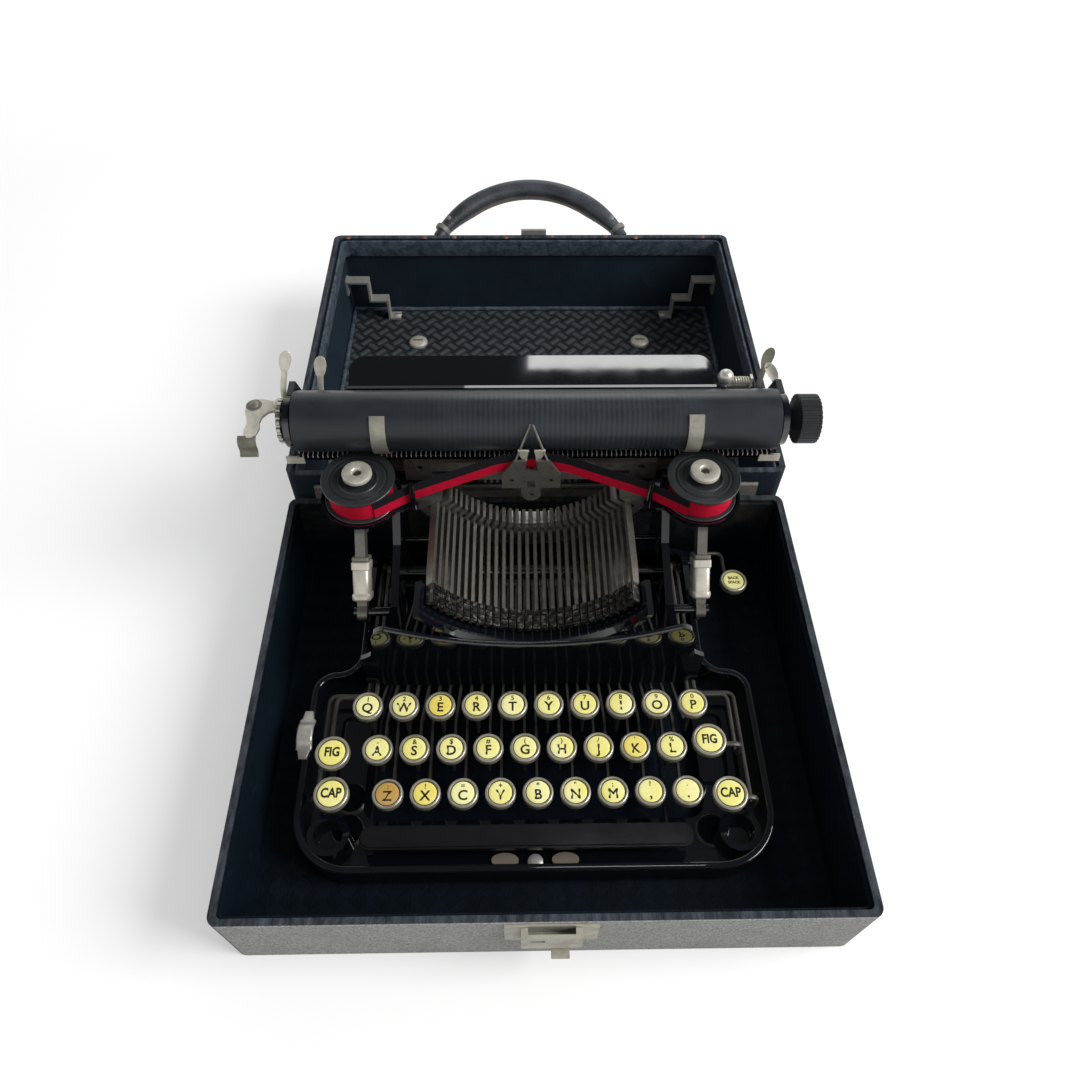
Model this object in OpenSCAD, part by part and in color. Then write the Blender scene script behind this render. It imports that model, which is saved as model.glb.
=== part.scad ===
/* [Assembly] */
// which node to draw, or all of them together

/* [Carrying case] */
// outer width of the case, left to right
case_w = 282; // [240:1:330]
// outer depth of the case, front to back
case_d = 230; // [200:1:280]
// height of the lower tray
tray_h = 50; // [35:1:70]
// height of the lid, the tray's other half
lid_h = 67; // [45:1:90]
// thickness of the covered wooden side walls
wall_t = 5; // [3:0.5:8]
// thickness of the case bottom
floor_t = 4; // [2:0.5:6]
// radius of the upright case corners
case_r = 5; // [2:0.5:10]
// depth by which the shut lid stays inside the tray's back face
lid_inset = 0.3; // [0.2:0.1:1]
// distance from the tray's back face to the hinge pin
hinge_out = 1.3; // [1.2:0.1:3]
// thickness of the sheet-metal hinge leaves
leaf_t = 0.9; // [0.6:0.1:1.5]

/* [Typewriter base] */
// sideways offset of the machine from the middle of the case
machine_x = -4; // [-8:0.5:8]
// half of the width of the base casting
base_half = 115; // [95:1:125]
// half of the width of its narrow back part
neck_half = 92; // [80:1:100]
// front edge of the base casting
base_front = -86; // [-95:1:-70]
// back edge of the base casting
base_back = 98; // [85:1:105]
// sideways distance from the middle to the front feet
foot_x = 98; // [90:0.5:100]
// front to back position of the front feet
foot_y = -67; // [-70:0.5:-60]
// where the casting begins to narrow
shoulder_y = 18; // [0:1:40]
// underside of the casting, held up by the rubber feet
base_z = 8; // [6:0.5:12]
// top of the raised rim
rim_z = 22; // [16:0.5:30]
// thickness of the raised rim
rim_t = 3.5; // [2:0.5:6]

/* [Keyboard] */
// distance between neighbouring keys of a row
key_pitch = 17.6; // [15:0.1:20]
// distance between neighbouring rows
row_pitch = 20.1; // [17:0.1:23]
// sideways position of the first key of the back row
key_x0 = -84.6; // [-90:0.1:-70]
// front to back position of the back row
key_y0 = -13.9; // [-25:0.1:0]
// height of the back row's key tops
key_z0 = 47; // [40:0.5:60]
// height lost from one row to the next
row_drop = 5; // [2:0.5:8]
// outer diameter of a letter key's ring
key_d = 14.6; // [12:0.1:17]
// outer diameter of a shift key's ring
shift_key_d = 16.6; // [13:0.1:19]
// thickness of a key lever blade
lever_t = 1.2; // [0.8:0.1:2]
// line where the levers bend towards the basket
lever_bend_y = -9; // [-10:0.5:0]
// spacing of the levers at the rod, as a part of their spacing at the keys
lever_squeeze = 0.78; // [0.7:0.01:0.9]
// diameter of the rod that the key levers swing on
lever_rod_d = 4; // [3:0.1:6]
// front to back position of that rod
lever_rod_y = 76; // [60:1:85]
// height of that rod
lever_rod_z = 18; // [14:0.5:25]

// front to back position of the shaft of the two keys marked CAP
cap_y = 91; // [88:0.5:95]
// height of that shaft
cap_z = 14; // [12.5:0.5:17]
// front to back position of the shaft of the two keys marked FIG
fig_y = 84; // [82:0.5:87]
// height of that shaft
fig_z = 22; // [20:0.5:26]

/* [Type basket] */
// height of the front panel at the middle of its top edge
panel_z = 63.5; // [60:0.5:66]
// radius of the long hollow in that edge
hollow_r = 168; // [160:1:240]
// distance from a typebar's pivot to the printing line
bar_r = 61; // [50:0.5:75]
// front to back position of the typebar pivots
bar_y = 86; // [75:0.5:92]
// angle from the middle to the outermost typebar
bar_spread = 54.5; // [40:0.5:62]
// number of typebars
bar_count = 28; // [20:1:36]
// thickness of a typebar
bar_t = 1.8; // [0.8:0.1:2.2]

/* [Carriage] */
// front to back position of the platen's axis
platen_y = 106.6; // [95:0.1:115]
// height of the platen's axis
platen_z = 120; // [105:0.5:130]
// diameter of the rubber roller
platen_d = 30.5; // [25:0.5:38]
// length of the rubber roller
platen_len = 241; // [200:1:250]
// sideways offset of the carriage from the machine's middle
carriage_x = 2.9; // [-10:0.1:10]
// diameter of the platen knob
knob_d = 25; // [18:0.5:32]
// fold axis of the upper frame, front to back
fold_y = 38; // [30:0.5:50]
// fold axis of the upper frame, height
fold_z = 50; // [40:0.5:60]

/* [Ribbon] */
// diameter of the flat nut on top of a spool
nut_d = 15; // [10:0.5:18]
// diameter of the spool flanges
spool_d = 37; // [30:0.5:44]
// sideways distance from the middle to a spool's axis
spool_x = 87; // [75:0.5:95]
// front to back position of the spools
spool_y = 82.5; // [75:0.5:90]
// height of the top flange's upper face
spool_z = 104; // [95:0.5:115]
// front to back position of the posts that guide the ribbon
guide_y = 77.2; // [76:0.1:78]
// width of the inked ribbon
ribbon_w = 12; // [8:0.5:16]
// thickness of the inked ribbon
ribbon_t = 0.3; // [0.2:0.05:0.6]

/* [Handle] */
// half of the distance between the ends of the handle
handle_half = 70; // [50:1:90]
// distance from the lid's wall to the handle's pins
handle_y = 8; // [6:0.5:14]
// height of the handle's pins above the table with the lid open
handle_z = 56; // [40:1:60]
// angle of the handle above level with the lid open
handle_tilt = 30; // [-40:1:80]

/* [Clearances] */
// least gap between the shift lock and the tray's wall
lock_room = 1; // [0.5:0.5:3]
// gap all round between a shaft and its bore
run_fit = 0.05; // [0.02:0.01:0.1]
// side gap between a typebar and its slot
slot_fit = 0.1; // [0.05:0.05:0.3]

/* [Hidden] */
$fn = 48;
eps = 0.01;
hinge_y = case_d / 2 + hinge_out;
hinge_z = (tray_h + lid_h) / 2;
lid_near = 2 * hinge_y - (case_d / 2 - lid_inset);
lid_far = 2 * hinge_y + (case_d / 2 - lid_inset);
lid_in_far = lid_far - wall_t;
lining_t = 2;
knuckle_r = 1.2;
knuckles = 9;
hinge_w = case_w - 30;
cx = machine_x + carriage_x;
rubber_r = platen_d / 2;
plate_x = platen_len / 2 + 1.2;
plate_t = 3;
spool_r = spool_d / 2;
hub_z = spool_z - ribbon_w - 2.5;
cup_r = spool_r + 2.2;
key_step = key_pitch / 3;
bar_step = 2 * bar_spread / (bar_count - 1);

// flat rectangle with four round corners
module rounded(x0, x1, y0, y1, r) {
    translate([x0 + r, y0]) square([x1 - x0 - 2 * r, y1 - y0]);
    translate([x0, y0 + r]) square([x1 - x0, y1 - y0 - 2 * r]);
    for (x = [x0 + r, x1 - r], y = [y0 + r, y1 - r]) translate([x, y]) circle(r);
}

// round bar along the x axis
module x_rod(x0, x1, y, z, d) {
    translate([x0, y, z]) rotate([0, 90, 0]) cylinder(d = d, h = x1 - x0);
}

// straight wire of thickness d from one point to another
module wire(a, b, d) {
    v = b - a;
    translate(a) rotate([0, acos(v[2] / norm(v)), atan2(v[1], v[0])]) cylinder(d = d, h = norm(v));
}

// flat piece drawn in the front to back plane, given thickness along x
module side_plate(x, t) {
    translate([x, 0, 0]) rotate([90, 0, 90]) linear_extrude(t) children();
}

// open box with upright walls and round corners, one half of the case
module case_half(y0, y1, h) {
    difference() {
        linear_extrude(h) rounded(-case_w / 2, case_w / 2, y0, y1, case_r);
        translate([0, 0, floor_t])
            linear_extrude(h)
                rounded(-case_w / 2 + wall_t, case_w / 2 - wall_t, y0 + wall_t, y1 - wall_t, 1.5);
        // shallow step round the inner edge of the rim
        translate([0, 0, h - 2.2])
            linear_extrude(h)
                rounded(-case_w / 2 + 3.4, case_w / 2 - 3.4, y0 + 3.4, y1 - 3.4, 2.5);
    }
}

module case_tray() {
    color([0.07, 0.08, 0.1]) case_half(-case_d / 2, case_d / 2, tray_h);
}

module case_lid() {
    color([0.08, 0.1, 0.13]) case_half(lid_near, lid_far, lid_h);
}

// woven panel inside the lid with a round stud near each side
module lid_lining() {
    color([0.05, 0.05, 0.06])
        translate([0, 0, floor_t])
            linear_extrude(lining_t)
                rounded(-case_w / 2 + wall_t, case_w / 2 - wall_t, lid_near + wall_t, lid_in_far, 1.5);
}

// one knuckle of the long hinge, number i
module knuckle(i) {
    w = hinge_w / knuckles;
    x_rod(-hinge_w / 2 + i * w + 0.15, -hinge_w / 2 + (i + 1) * w - 0.15, hinge_y, hinge_z, 2 * knuckle_r);
}

module hinge_tray_leaf() {
    w = hinge_w / knuckles;
    color([0.35, 0.34, 0.33]) {
        difference() {
            union() {
                translate([-hinge_w / 2, case_d / 2, hinge_z - 19])
                    cube([hinge_w, leaf_t, 16]);
                for (i = [0:2:knuckles - 1]) {
                    knuckle(i);
                    translate([-hinge_w / 2 + i * w + 0.15, case_d / 2, hinge_z - 4])
                        cube([w - 0.3, leaf_t, 4]);
                }
            }
            // the pin's bore is closed at both ends, so the pin is part of the leaf
            for (i = [1:2:knuckles - 1])
                translate([-hinge_w / 2 + i * w - 0.15, case_d / 2 - 1, hinge_z - 2.5])
                    cube([w + 0.3, 4, 5]);
        }
        x_rod(-hinge_w / 2 + 0.2, hinge_w / 2 - 0.2, hinge_y, hinge_z, 1.2);
    }
}

module hinge_lid_leaf() {
    w = hinge_w / knuckles;
    color([0.35, 0.34, 0.33])
        difference() {
            union() {
                translate([-hinge_w / 2, lid_near - leaf_t, hinge_z - 16])
                    cube([hinge_w, leaf_t, 13]);
                for (i = [1:2:knuckles - 1]) {
                    knuckle(i);
                    translate([-hinge_w / 2 + i * w + 0.15, lid_near - leaf_t, hinge_z - 4])
                        cube([w - 0.3, leaf_t, 4]);
                }
            }
            x_rod(-hinge_w / 2 - 1, hinge_w / 2 + 1, hinge_y, hinge_z, 1.2 + 2 * run_fit);
        }
}

// stepped steel strap between side wall and lining, in one far corner of the lid
module stepped_strap(side) {
    t = 1.4;
    w = 8;
    z0 = floor_t + lining_t;
    translate([0, lid_in_far - 5, 0]) mirror([side > 0 ? 1 : 0, 0, 0])
        translate([-case_w / 2 + wall_t, 0, 0]) rotate([90, 0, 0]) linear_extrude(w) {
            translate([0, z0 + 22]) square([t, 12]);
            translate([0, z0 + 32]) square([17, t]);
            translate([17 - t, z0 + 16]) square([t, 17.4]);
            translate([17 - t, z0 + 16]) square([14, t]);
            translate([31 - 2 * t, z0]) square([t, 17.4]);
            translate([31 - 2 * t, z0]) square([9, t]);
        }
}

module lid_fittings() {
    color([0.6, 0.57, 0.52]) {
        for (side = [-1, 1]) {
            stepped_strap(side);
            // round stud and washer that hold the lining
            translate([side * 82.4 - 1.5, lid_in_far - 40, floor_t + lining_t]) {
                cylinder(d = 14, h = 0.8);
                translate([0, 0, 0.8]) cylinder(d1 = 8, d2 = 6, h = 1.4);
            }
        }
        // catch hook at the middle of the lid's front wall
        translate([-7, lid_far, lid_h - 18]) cube([18, 1.2, 15]);
        translate([-7, lid_far + 1.1, lid_h - 12]) cube([18, 2.1, 15]);
        // brackets that hold the ends of the handle
        for (s = [-1, 1]) translate([s * handle_half, lid_far, handle_z]) {
            translate([-10, 0, -6]) cube([20, 1.2, 12]);
            for (x = [-9, 7.5])
                side_plate(x, 1.5)
                    union() {
                        translate([0, -4]) square([handle_y, 8]);
                        translate([handle_y, 0]) circle(r = 4);
                    }
            x_rod(-9, 9, handle_y, 0, 3);
        }
    }
}

// stitched leather arch with an eye at each end
module carry_handle() {
    rise = 43;
    r = (handle_half * handle_half + rise * rise) / (2 * rise);
    half = asin(handle_half / r);
    color([0.16, 0.12, 0.1])
        translate([0, lid_far + handle_y, handle_z]) rotate([handle_tilt, 0, 0])
            difference() {
                union() {
                    translate([0, rise - r, -6]) rotate([0, 0, 90 - half + 3])
                        rotate_extrude(angle = 2 * half - 6, $fn = 96)
                            translate([r - 3.5, 0]) rounded(0, 7, 0, 12, 3, $fn = 24);
                    // padded middle
                    translate([0, rise - r, -7]) rotate([0, 0, 45])
                        rotate_extrude(angle = 90, $fn = 96)
                            translate([r - 8.5, 0]) rounded(0, 13, 0, 14, 4, $fn = 24);
                    for (s = [-1, 1]) x_rod(s * handle_half - 6, s * handle_half + 6, 0, 0, 9);
                }
                for (s = [-1, 1])
                    x_rod(s * handle_half - 20, s * handle_half + 20, 0, 0, 3 + 2 * run_fit);
            }
}

module latch_plate() {
    x = 2;
    color([0.62, 0.58, 0.52])
        difference() {
            union() {
                translate([x - 20, -case_d / 2 - 1, tray_h - 24]) cube([40, 1, 22]);
                translate([x - 13, -case_d / 2 - 5, tray_h - 22]) cube([26, 4.5, 18]);
            }
            // mouth that takes the lid's hook
            translate([x - 10, -case_d / 2 - 3.6, tray_h - 12]) cube([20, 2.9, 20]);
            // window in the front face
            translate([x - 9, -case_d / 2 - 6, tray_h - 12]) cube([6, 3, 3]);
            // guide for the button
            translate([x + 0.95, -case_d / 2 - 3.55, tray_h - 23]) cube([6.1, 2.1, 8.5]);
        }
}

module latch_button() {
    x = 2;
    color([0.66, 0.62, 0.56]) {
        translate([x + 1, -case_d / 2 - 3.5, tray_h - 26]) cube([6, 2, 9]);
        translate([x, -case_d / 2 - 8, tray_h - 28]) cube([8, 6.5, 2]);
    }
}

// plan of the base casting, drawn in by t on every side
module base_plan(t) {
    w = base_half - t;
    n = neck_half - t;
    y1 = shoulder_y - t;
    f = 11 + t;
    rounded(-w, w, base_front + t, 0, 29 - t);
    translate([-w, -40]) square([2 * w, y1 - 12 + t + 40]);
    rounded(-w, w, -40, y1, 12 - t);
    rounded(-n, n, -30, base_back - t, 7 - t);
    for (s = [0, 1]) mirror([s, 0])
        difference() {
            translate([n - eps, y1 - eps]) square([f + eps, f + eps]);
            translate([n + f, y1 + f]) circle(f);
        }
}

module base_frame() {
    side_x = 68;
    color([0.02, 0.02, 0.025])
        translate([machine_x, 0, 0])
            difference() {
                union() {
                    // raised rim
                    translate([0, 0, base_z]) linear_extrude(rim_z - base_z)
                        difference() {
                            base_plan(0);
                            base_plan(rim_t);
                        }
                    // front deck, side bands and back deck
                    translate([0, 0, base_z]) linear_extrude(2.5)
                        difference() {
                            base_plan(1);
                            rounded(-84, 84, -58, 61, 8);
                            rounded(-66, 66, 40, 82, 3);
                        }
                    // front apron under the space bar
                    translate([0, 0, base_z]) linear_extrude(8)
                        intersection() {
                            base_plan(1);
                            translate([-86, base_front]) square([172, 10.4]);
                        }
                    // bosses over the feet
                    for (s = [-1, 1]) translate([s * foot_x, foot_y, base_z]) cylinder(d = 20, h = 11);
                    // stud of the back-spacer
                    x_rod(neck_half - 2, neck_half + 7, 91, 18, 4);
                    // side walls of the basket, arched over the key levers
                    for (s = [-1, 1])
                        side_plate(s > 0 ? side_x : -side_x - 4, 4)
                            difference() {
                                polygon([[66, base_z], [98, base_z], [98, 60], [92, 84], [80, 84],
                                    [66, 70], [34, 60], [14, 66], [11, 66], [11, 28], [60, 28]]);
                                translate([74, 58]) circle(6);
                                translate([30, 38]) rounded(-8, 26, -5, 6, 5);
                            }
                    // studs that the folding arms swing on
                    for (s = [-1, 1])
                        x_rod(s > 0 ? side_x + 2 : -neck_half, s > 0 ? neck_half : -side_x - 2, fold_y, fold_z, 5);
                    // rod that carries the key levers
                    x_rod(-side_x - 2, side_x + 2, lever_rod_y, lever_rod_z, lever_rod_d);
                    // cross rods that tie the side walls
                    x_rod(-side_x - 2, side_x + 2, 62, 50, 3);
                    x_rod(-side_x - 2, side_x + 2, 94, 38, 4);
                }
                // bores for the two shift shafts
                x_rod(-87.5, 87.5, cap_y, cap_z, 3 + 2 * run_fit);
                x_rod(-87.5, 87.5, fig_y, fig_z, 3 + 2 * run_fit);
                // hollow of the bosses
                for (s = [-1, 1]) translate([s * foot_x, foot_y, base_z + 4]) cylinder(d = 14, h = 20);
                // hole for the front screw
                translate([0, -80, base_z - 1]) cylinder(d = 3.4, h = 20);
            }
    // nickel screw at the middle of the front edge
    color([0.7, 0.66, 0.6])
        translate([machine_x, -80, base_z]) {
            cylinder(d = 3.4, h = 8);
            translate([0, 0, 8]) cylinder(d1 = 7.5, d2 = 5, h = 1.6);
        }
}

module rubber_feet() {
    color([0.04, 0.04, 0.04])
        translate([machine_x, 0, floor_t])
            for (s = [-1, 1]) {
                translate([s * foot_x, foot_y, 0]) cylinder(d1 = 15, d2 = 18, h = base_z - floor_t);
                translate([s * 79, 84, 0]) cylinder(d1 = 13, d2 = 15, h = base_z - floor_t);
            }
}

// upright panel between keyboard and basket, lowest in the middle of its top edge
module front_panel() {
    y0 = 8.5;
    t = 2.5;
    color([0.02, 0.02, 0.025])
        translate([machine_x, 0, 0]) {
            translate([0, y0 + t, 0]) rotate([90, 0, 0]) linear_extrude(t)
                difference() {
                    union() {
                        translate([-78, 25]) square([156, 55]);
                        for (s = [0, 1]) mirror([s, 0]) {
                            translate([76, 27]) square([9.5, 20]);
                            difference() {
                                translate([76, 46]) square([9.5, 20]);
                                translate([91, 66]) circle(r = 15);
                            }
                        }
                    }
                    // long hollow of the top edge
                    translate([0, panel_z + hollow_r]) circle(r = hollow_r, $fn = 180);
                    for (s = [0, 1]) mirror([s, 0])
                        difference() {
                            translate([70, 72]) square([20, 20]);
                            translate([70, 72]) circle(r = 7.5);
                        }
                }
            // rounded lip along the top edge
            translate([0, y0 + 1, panel_z + hollow_r]) rotate([90, 0, 0]) rotate([0, 0, -115])
                rotate_extrude(angle = 50, $fn = 180) translate([hollow_r, 0]) circle(d = 3, $fn = 24);
            // curved rest that the typebars lie on
            translate([0, y0 + t, platen_z]) rotate([-90, 0, 0])
                linear_extrude(20)
                    difference() {
                        circle(r = bar_r + 4.5, $fn = 120);
                        circle(r = bar_r + 2.1, $fn = 120);
                        translate([-90, -90]) square([180, 90 + 33]);
                    }
        }
}

module type_segment() {
    color([0.36, 0.35, 0.33])
        translate([machine_x, bar_y, platen_z]) rotate([-90, 0, 0]) {
            difference() {
                translate([0, 0, -5]) linear_extrude(10)
                    difference() {
                        circle(r = bar_r + 9, $fn = 120);
                        circle(r = bar_r - 9, $fn = 120);
                        translate([-90, -90]) square([180, 90 + 31.5]);
                    }
                // one slot for each typebar
                for (i = [0:bar_count - 1])
                    rotate([0, 0, -bar_spread + i * bar_step])
                        translate([-bar_t / 2 - slot_fit, 40, -7])
                            cube([bar_t + 2 * slot_fit, bar_r + 4.5 - 40, 14]);
            }
            // ears that bolt the segment to the side walls
            for (s = [-1, 1])
                translate([s > 0 ? 56.5 : -68, 34.6, -2]) cube([11.5, 6, 6]);
        }
}

// outline of a typebar: along the bar, and away from the printing line
module typebar_plan() {
    difference() {
        union() {
            polygon([[20, bar_r - 2], [84, bar_r - 2.2], [84, bar_r + 2.2], [40, bar_r + 2.2], [20, bar_r + 1]]);
            translate([bar_y, bar_r]) circle(r = 3);
            translate([84, bar_r - 1.5]) square([11.5, 4]);
            translate([92, bar_r]) square([3.5, 13]);
        }
        translate([bar_y, bar_r]) circle(r = 0.8);
    }
}

module typebars() {
    color([0.42, 0.4, 0.37])
        translate([machine_x, 0, platen_z])
            for (i = [0:bar_count - 1])
                rotate([0, -bar_spread + i * bar_step, 0]) {
                    rotate([90, 0, 90]) translate([0, 0, -bar_t / 2]) linear_extrude(bar_t)
                        mirror([0, 1]) typebar_plan();
                    // type slug with its three faces
                    translate([-1.7, 19, -bar_r + 1.9]) cube([3.4, 11, 2]);
                    for (k = [0:2])
                        translate([-1.2, 20 + k * 3.5, -bar_r + 3.8]) cube([2.4, 2.4, 0.9]);
                }
}

// nickel ring with a glazed disc
module key_top(d, h) {
    color([0.72, 0.68, 0.6])
        difference() {
            rotate_extrude()
                polygon([[0, 0], [d / 2 - 1.6, 0], [d / 2, 1.4], [d / 2, h], [d / 2 - 1.1, h + 0.6],
                    [0, h + 0.6]]);
            translate([0, 0, 1]) cylinder(d = d - 2.2, h = h + 5);
        }
    color([0.9, 0.85, 0.5]) translate([0, 0, 1]) cylinder(d = d - 2.2, h = h - 0.5);
}

// lever blade at x0: straight under the keys, then slanted to its hub on the rod
module lever_blade(x0, y_key, z_key) {
    x1 = machine_x + (x0 - machine_x) * lever_squeeze;
    t = lever_t / 2;
    color([0.3, 0.29, 0.28])
        difference() {
            union() {
                side_plate(x0 - t, lever_t)
                    polygon([[y_key - 2, 18], [y_key + 4, 16], [lever_bend_y, 16], [lever_bend_y, 20],
                        [y_key + 4, 20], [y_key + 2, 23], [y_key + 2, z_key], [y_key - 2, z_key]]);
                translate([0, 0, 16]) linear_extrude(4)
                    polygon([[x0 - t, lever_bend_y], [x0 + t, lever_bend_y],
                        [x1 + t, lever_rod_y], [x1 - t, lever_rod_y]]);
                side_plate(x1 - t - 0.4, lever_t + 0.8) translate([lever_rod_y, lever_rod_z]) circle(r = 3.4);
            }
            x_rod(-100, 100, lever_rod_y, lever_rod_z, lever_rod_d + 2 * run_fit);
        }
}

// whole letter key: lever, ring and disc
module letter_key(row, col) {
    x = key_x0 + (col * 3 + row) * key_step;
    y_key = key_y0 - row * row_pitch;
    z_key = key_z0 - row * row_drop;
    lever_blade(x, y_key, z_key - 5);
    translate([x, y_key, z_key - 5]) key_top(key_d, 4.4);
}

// flat shift arm from its shaft to one key, bent outward past the shoulder
module shift_arm(s, x_in, x_out, x_key, y_key, y_shaft, z_shaft, z_key, zf, y_crank) {
    // straight run beside the basket and its hub
    translate([s * x_in - 1.2, y_crank, zf]) cube([2.4, y_shaft - 8 - y_crank, 3.5]);
    side_plate(s * x_in - 1.2, 2.4)
        union() {
            translate([y_shaft, z_shaft]) circle(r = 3.1);
            polygon([[y_shaft - 8.1, zf], [y_shaft, z_shaft - 3.1], [y_shaft, z_shaft + 3.1],
                [y_shaft - 8.1, zf + 3.5]]);
        }
    // sideways crank
    translate([min(s * x_in, s * x_out) - 1.2, y_crank, zf]) cube([x_out - x_in + 2.4, 2.4, 3.5]);
    // outer run beside the keys, with its upright and the bar under the key
    translate([s * x_out - 1.2, y_key - 1.5, zf]) cube([2.4, y_crank + 2 - y_key, 3.5]);
    translate([s * x_out - 1.2, y_key - 1.5, zf]) cube([2.4, 3, z_key - 5 - zf]);
    translate([min(s * x_out, s * x_key) - 1.2, y_key - 1.5, z_key - 7.4])
        cube([abs(x_out - x_key) + 2.4, 3, 2.4]);
}

module cap_keys() {
    color([0.3, 0.29, 0.28])
        translate([machine_x, 0, 0]) {
            shift_arm(-1, 85.5, 105.5, 95, -54, cap_y, cap_z, 38, 17, 4);
            shift_arm(1, 85.5, 105.5, 91.6, -56, cap_y, cap_z, 38, 17, 4);
            x_rod(-86.7, 86.7, cap_y, cap_z, 3);
        }
    translate([machine_x - 95, -54, 33]) key_top(shift_key_d, 4.4);
    translate([machine_x + 91.6, -56, 33]) key_top(shift_key_d, 4.4);
}

module fig_keys() {
    color([0.3, 0.29, 0.28])
        translate([machine_x, 0, 0]) {
            shift_arm(-1, 80.9, 101, 96, -35.5, fig_y, fig_z, 42, 21.2, 1);
            shift_arm(1, 80.9, 101, 84.5, -31, fig_y, fig_z, 42, 21.2, 1);
            x_rod(-82.1, 82.1, fig_y, fig_z, 3);
        }
    translate([machine_x - 96, -35.5, 37]) key_top(shift_key_d, 4.4);
    translate([machine_x + 84.5, -31, 37]) key_top(shift_key_d, 4.4);
}

module space_bar() {
    x0 = -85.2;
    x1 = 69.4;
    y0 = -72.4;
    color([0.03, 0.03, 0.035])
        translate([0, 0, 27]) {
            linear_extrude(3) rounded(x0, x1, y0 - 5.5, y0 + 5.5, 5.3);
            translate([0, 0, 3]) linear_extrude(1) rounded(x0 + 1, x1 - 1, y0 - 4.5, y0 + 4.5, 4.3);
        }
    // two arms that run back between the key levers
    for (i = [0.5, 24.5]) lever_blade(key_x0 + i * key_step, y0, 27);
}

// back-spacer: key on a thin bent rod that swings on a stud of the base
module back_space_key() {
    kx = 110;
    ky = 69;
    kz = 31;
    xs = machine_x + neck_half + 2;
    color([0.5, 0.48, 0.44])
        difference() {
            union() {
                side_plate(xs, 2.2) translate([91, 18]) circle(r = 4);
                translate([xs, 89, 16.9]) cube([2.2, 9.2, 2.2]);
                translate([xs, 96, 16.9]) cube([kx - xs, 2.2, 2.2]);
                translate([kx - 2, ky, 16.9]) cube([2.2, 29.2, 2.2]);
                translate([kx - 2, ky - 1, 16.9]) cube([2.2, 2.2, kz - 4.7 - 16.9]);
            }
            x_rod(xs - 5, xs + 5, 91, 18, 4 + 2 * run_fit);
        }
    translate([kx, ky, kz - 5]) key_top(15, 4.4);
}

module shift_lock() {
    // kept clear of the tray's wall when the case is made narrower
    x0 = max(machine_x - base_half + 0.5, -case_w / 2 + wall_t + lock_room + 4.5);
    color([0.8, 0.78, 0.74])
        translate([x0, -18, rim_z]) {
            linear_extrude(1.6) rounded(-4.5, 4.5, -13, 13, 4.4);
            translate([-4.4, -3.5, 1.6]) cube([8.8, 7, 3]);
            translate([4, -3, 3]) cube([3.4, 6, 1.6]);
        }
}

// one arm of the upper frame with its spool cup
module frame_arm(s) {
    difference() {
        union() {
            side_plate(s > 0 ? 84.8 : -89.8, 5)
                union() {
                    translate([fold_y, fold_z]) circle(r = 5.5);
                    translate([fold_y, fold_z]) rotate(46.5) translate([0, -4]) square([49, 8]);
                    polygon([[66, 80], [72, 74], [104, 80], [104, 88], [68, 88]]);
                }
            // shallow cup under the spool
            translate([s * spool_x, spool_y, hub_z - 3]) rotate_extrude()
                polygon([[0, 0], [cup_r - 2, 0], [cup_r, 2], [cup_r, 4], [cup_r - 1.2, 4],
                    [cup_r - 1.2, 2], [0, 2]]);
            translate([s * spool_x, spool_y, hub_z - 2]) cylinder(d = 4, h = spool_z - hub_z + 5);
        }
        x_rod(-100, 100, fold_y, fold_z, 5 + 2 * run_fit);
    }
}

module folding_frame() {
    color([0.02, 0.02, 0.025])
        translate([machine_x, 0, 0]) {
            for (s = [-1, 1]) frame_arm(s);
            // cross beam behind the basket, with the shelf under the rails
            translate([-89.8, 103, 78]) cube([179.6, 7, 6]);
            translate([-66, 98, 82]) cube([132, 6.8, 2.5]);
            // ribbon guides beside the cups
            for (s = [-1, 1]) mirror([s > 0 ? 0 : 1, 0, 0]) {
                translate([58, guide_y - 2.7, hub_z - 3]) cube([14, 5, 2]);
                translate([60, guide_y, hub_z - 3]) cylinder(d = 3, h = spool_z - hub_z + 4);
            }
        }
}

// nickel sleeves that slide along the arms and lock the joint when pushed down
module arm_catches() {
    color([0.85, 0.82, 0.76])
        translate([machine_x, 0, 0])
            for (s = [-1, 1])
                translate([s * 87.3, fold_y, fold_z]) rotate([46.5, 0, 0])
                    difference() {
                        union() {
                            translate([-4.2, 7, -5.4]) cube([8.4, 22, 10.8]);
                            translate([-4.8, 22, -6]) cube([9.6, 4, 12]);
                        }
                        translate([-2.7, 6, -4.2]) cube([5.4, 24, 8.4]);
                    }
}

// steel rails: a slotted bar in front, and the track that the carriage runs on
module carriage_rail() {
    color([0.5, 0.48, 0.44])
        translate([machine_x, 0, 0]) {
            difference() {
                translate([-66, 98, 84.5]) cube([132, 2.5, 13.5]);
                for (x = [-52, 22]) translate([x, 97, 88]) cube([30, 5, 3.2]);
                for (x = [-58:29:58]) translate([x, 97, 94]) rotate([-90, 0, 0]) cylinder(d = 3.4, h = 6);
            }
            difference() {
                translate([-100, 105, 84]) cube([200, 12, 8]);
                translate([-101, 109, 88]) cube([202, 4, 5]);
            }
        }
}

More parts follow.
